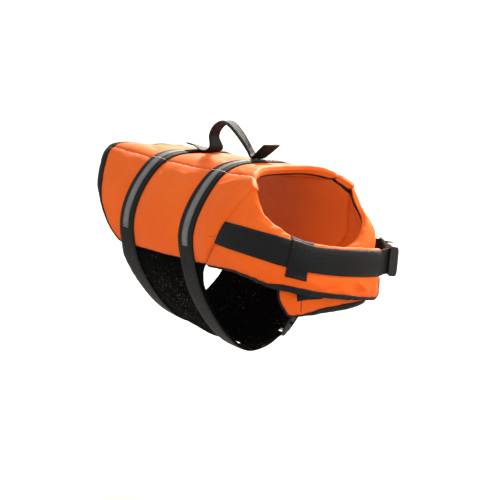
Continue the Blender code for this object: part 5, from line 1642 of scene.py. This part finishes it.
world = bpy.data.worlds.new("studio")
bpy.context.scene.world = world
world.use_nodes = True
bg = world.node_tree.nodes["Background"]
bg.inputs[0].default_value = (0.965, 0.98, 1.0, 1)
bg.inputs[1].default_value = 0.95


def area(name, direction, dist, size, power, colour, target=(-0.05, 0, -0.04)):
    d = Vector(direction).normalized()
    light = bpy.data.lights.new(name, "AREA")
    light.shape = "DISK"
    light.size = size
    light.energy = power
    light.color = colour
    ob = bpy.data.objects.new(name, light)
    ob.location = Vector(target) + d * dist
    ob.rotation_euler = (-d).to_track_quat("-Z", "Y").to_euler()
    bpy.context.scene.collection.objects.link(ob)
    return ob


sun = bpy.data.lights.new("key", "SUN")
sun.energy = 11.5
sun.angle = math.radians(7)
sun.color = (1.0, 0.93, 0.80)
key = bpy.data.objects.new("key", sun)
key.rotation_euler = (-Vector((-0.53, 0.63, 0.566))).to_track_quat("-Z", "Y").to_euler()
bpy.context.scene.collection.objects.link(key)
area("fill", (0.75, -0.62, 0.40), 2.4, 1.6, 20, (1.0, 0.985, 0.96))
area("rim", (0.35, 0.75, 0.55), 2.0, 0.55, 55, (1.0, 0.94, 0.84))

# camera: at the photograph's angle, level line rolled 5 degrees
A, E, ROLL = math.radians(54.0), math.radians(12.8), math.radians(5.0)
b = np.array([math.sin(A) * math.cos(E), -math.cos(A) * math.cos(E), math.sin(E)])
r = np.array([math.cos(A), math.sin(A), 0.0])
u = np.cross(b, r)
DIST, FPX = 1.9, 1015.0 * 1.9
ox, oy = (252.0 - 250.0) / FPX * DIST, (250.0 - 167.0) / FPX * DIST
c = -(ox * r + oy * u - DIST * b)
RX = np.array([[1, 0, 0], [0, math.cos(ROLL), -math.sin(ROLL)], [0, math.sin(ROLL), math.cos(ROLL)]])
b, r, u = RX @ b, RX @ r, RX @ u
c = RX @ c + np.array([0, -0.0065, 0.003])
cam = bpy.data.cameras.new("camera")
cam.sensor_width = 36
cam.lens = FPX / 500 * 36
cam.clip_start, cam.clip_end = 0.05, 50
camera = bpy.data.objects.new("camera", cam)
camera.matrix_world = Matrix([(r[0], u[0], b[0], c[0]), (r[1], u[1], b[1], c[1]), (r[2], u[2], b[2], c[2]), (0, 0, 0, 1)])
bpy.context.scene.collection.objects.link(camera)
bpy.context.scene.camera = camera
bpy.context.scene.view_settings.view_transform = "Standard"
bpy.context.scene.view_settings.look = "None"

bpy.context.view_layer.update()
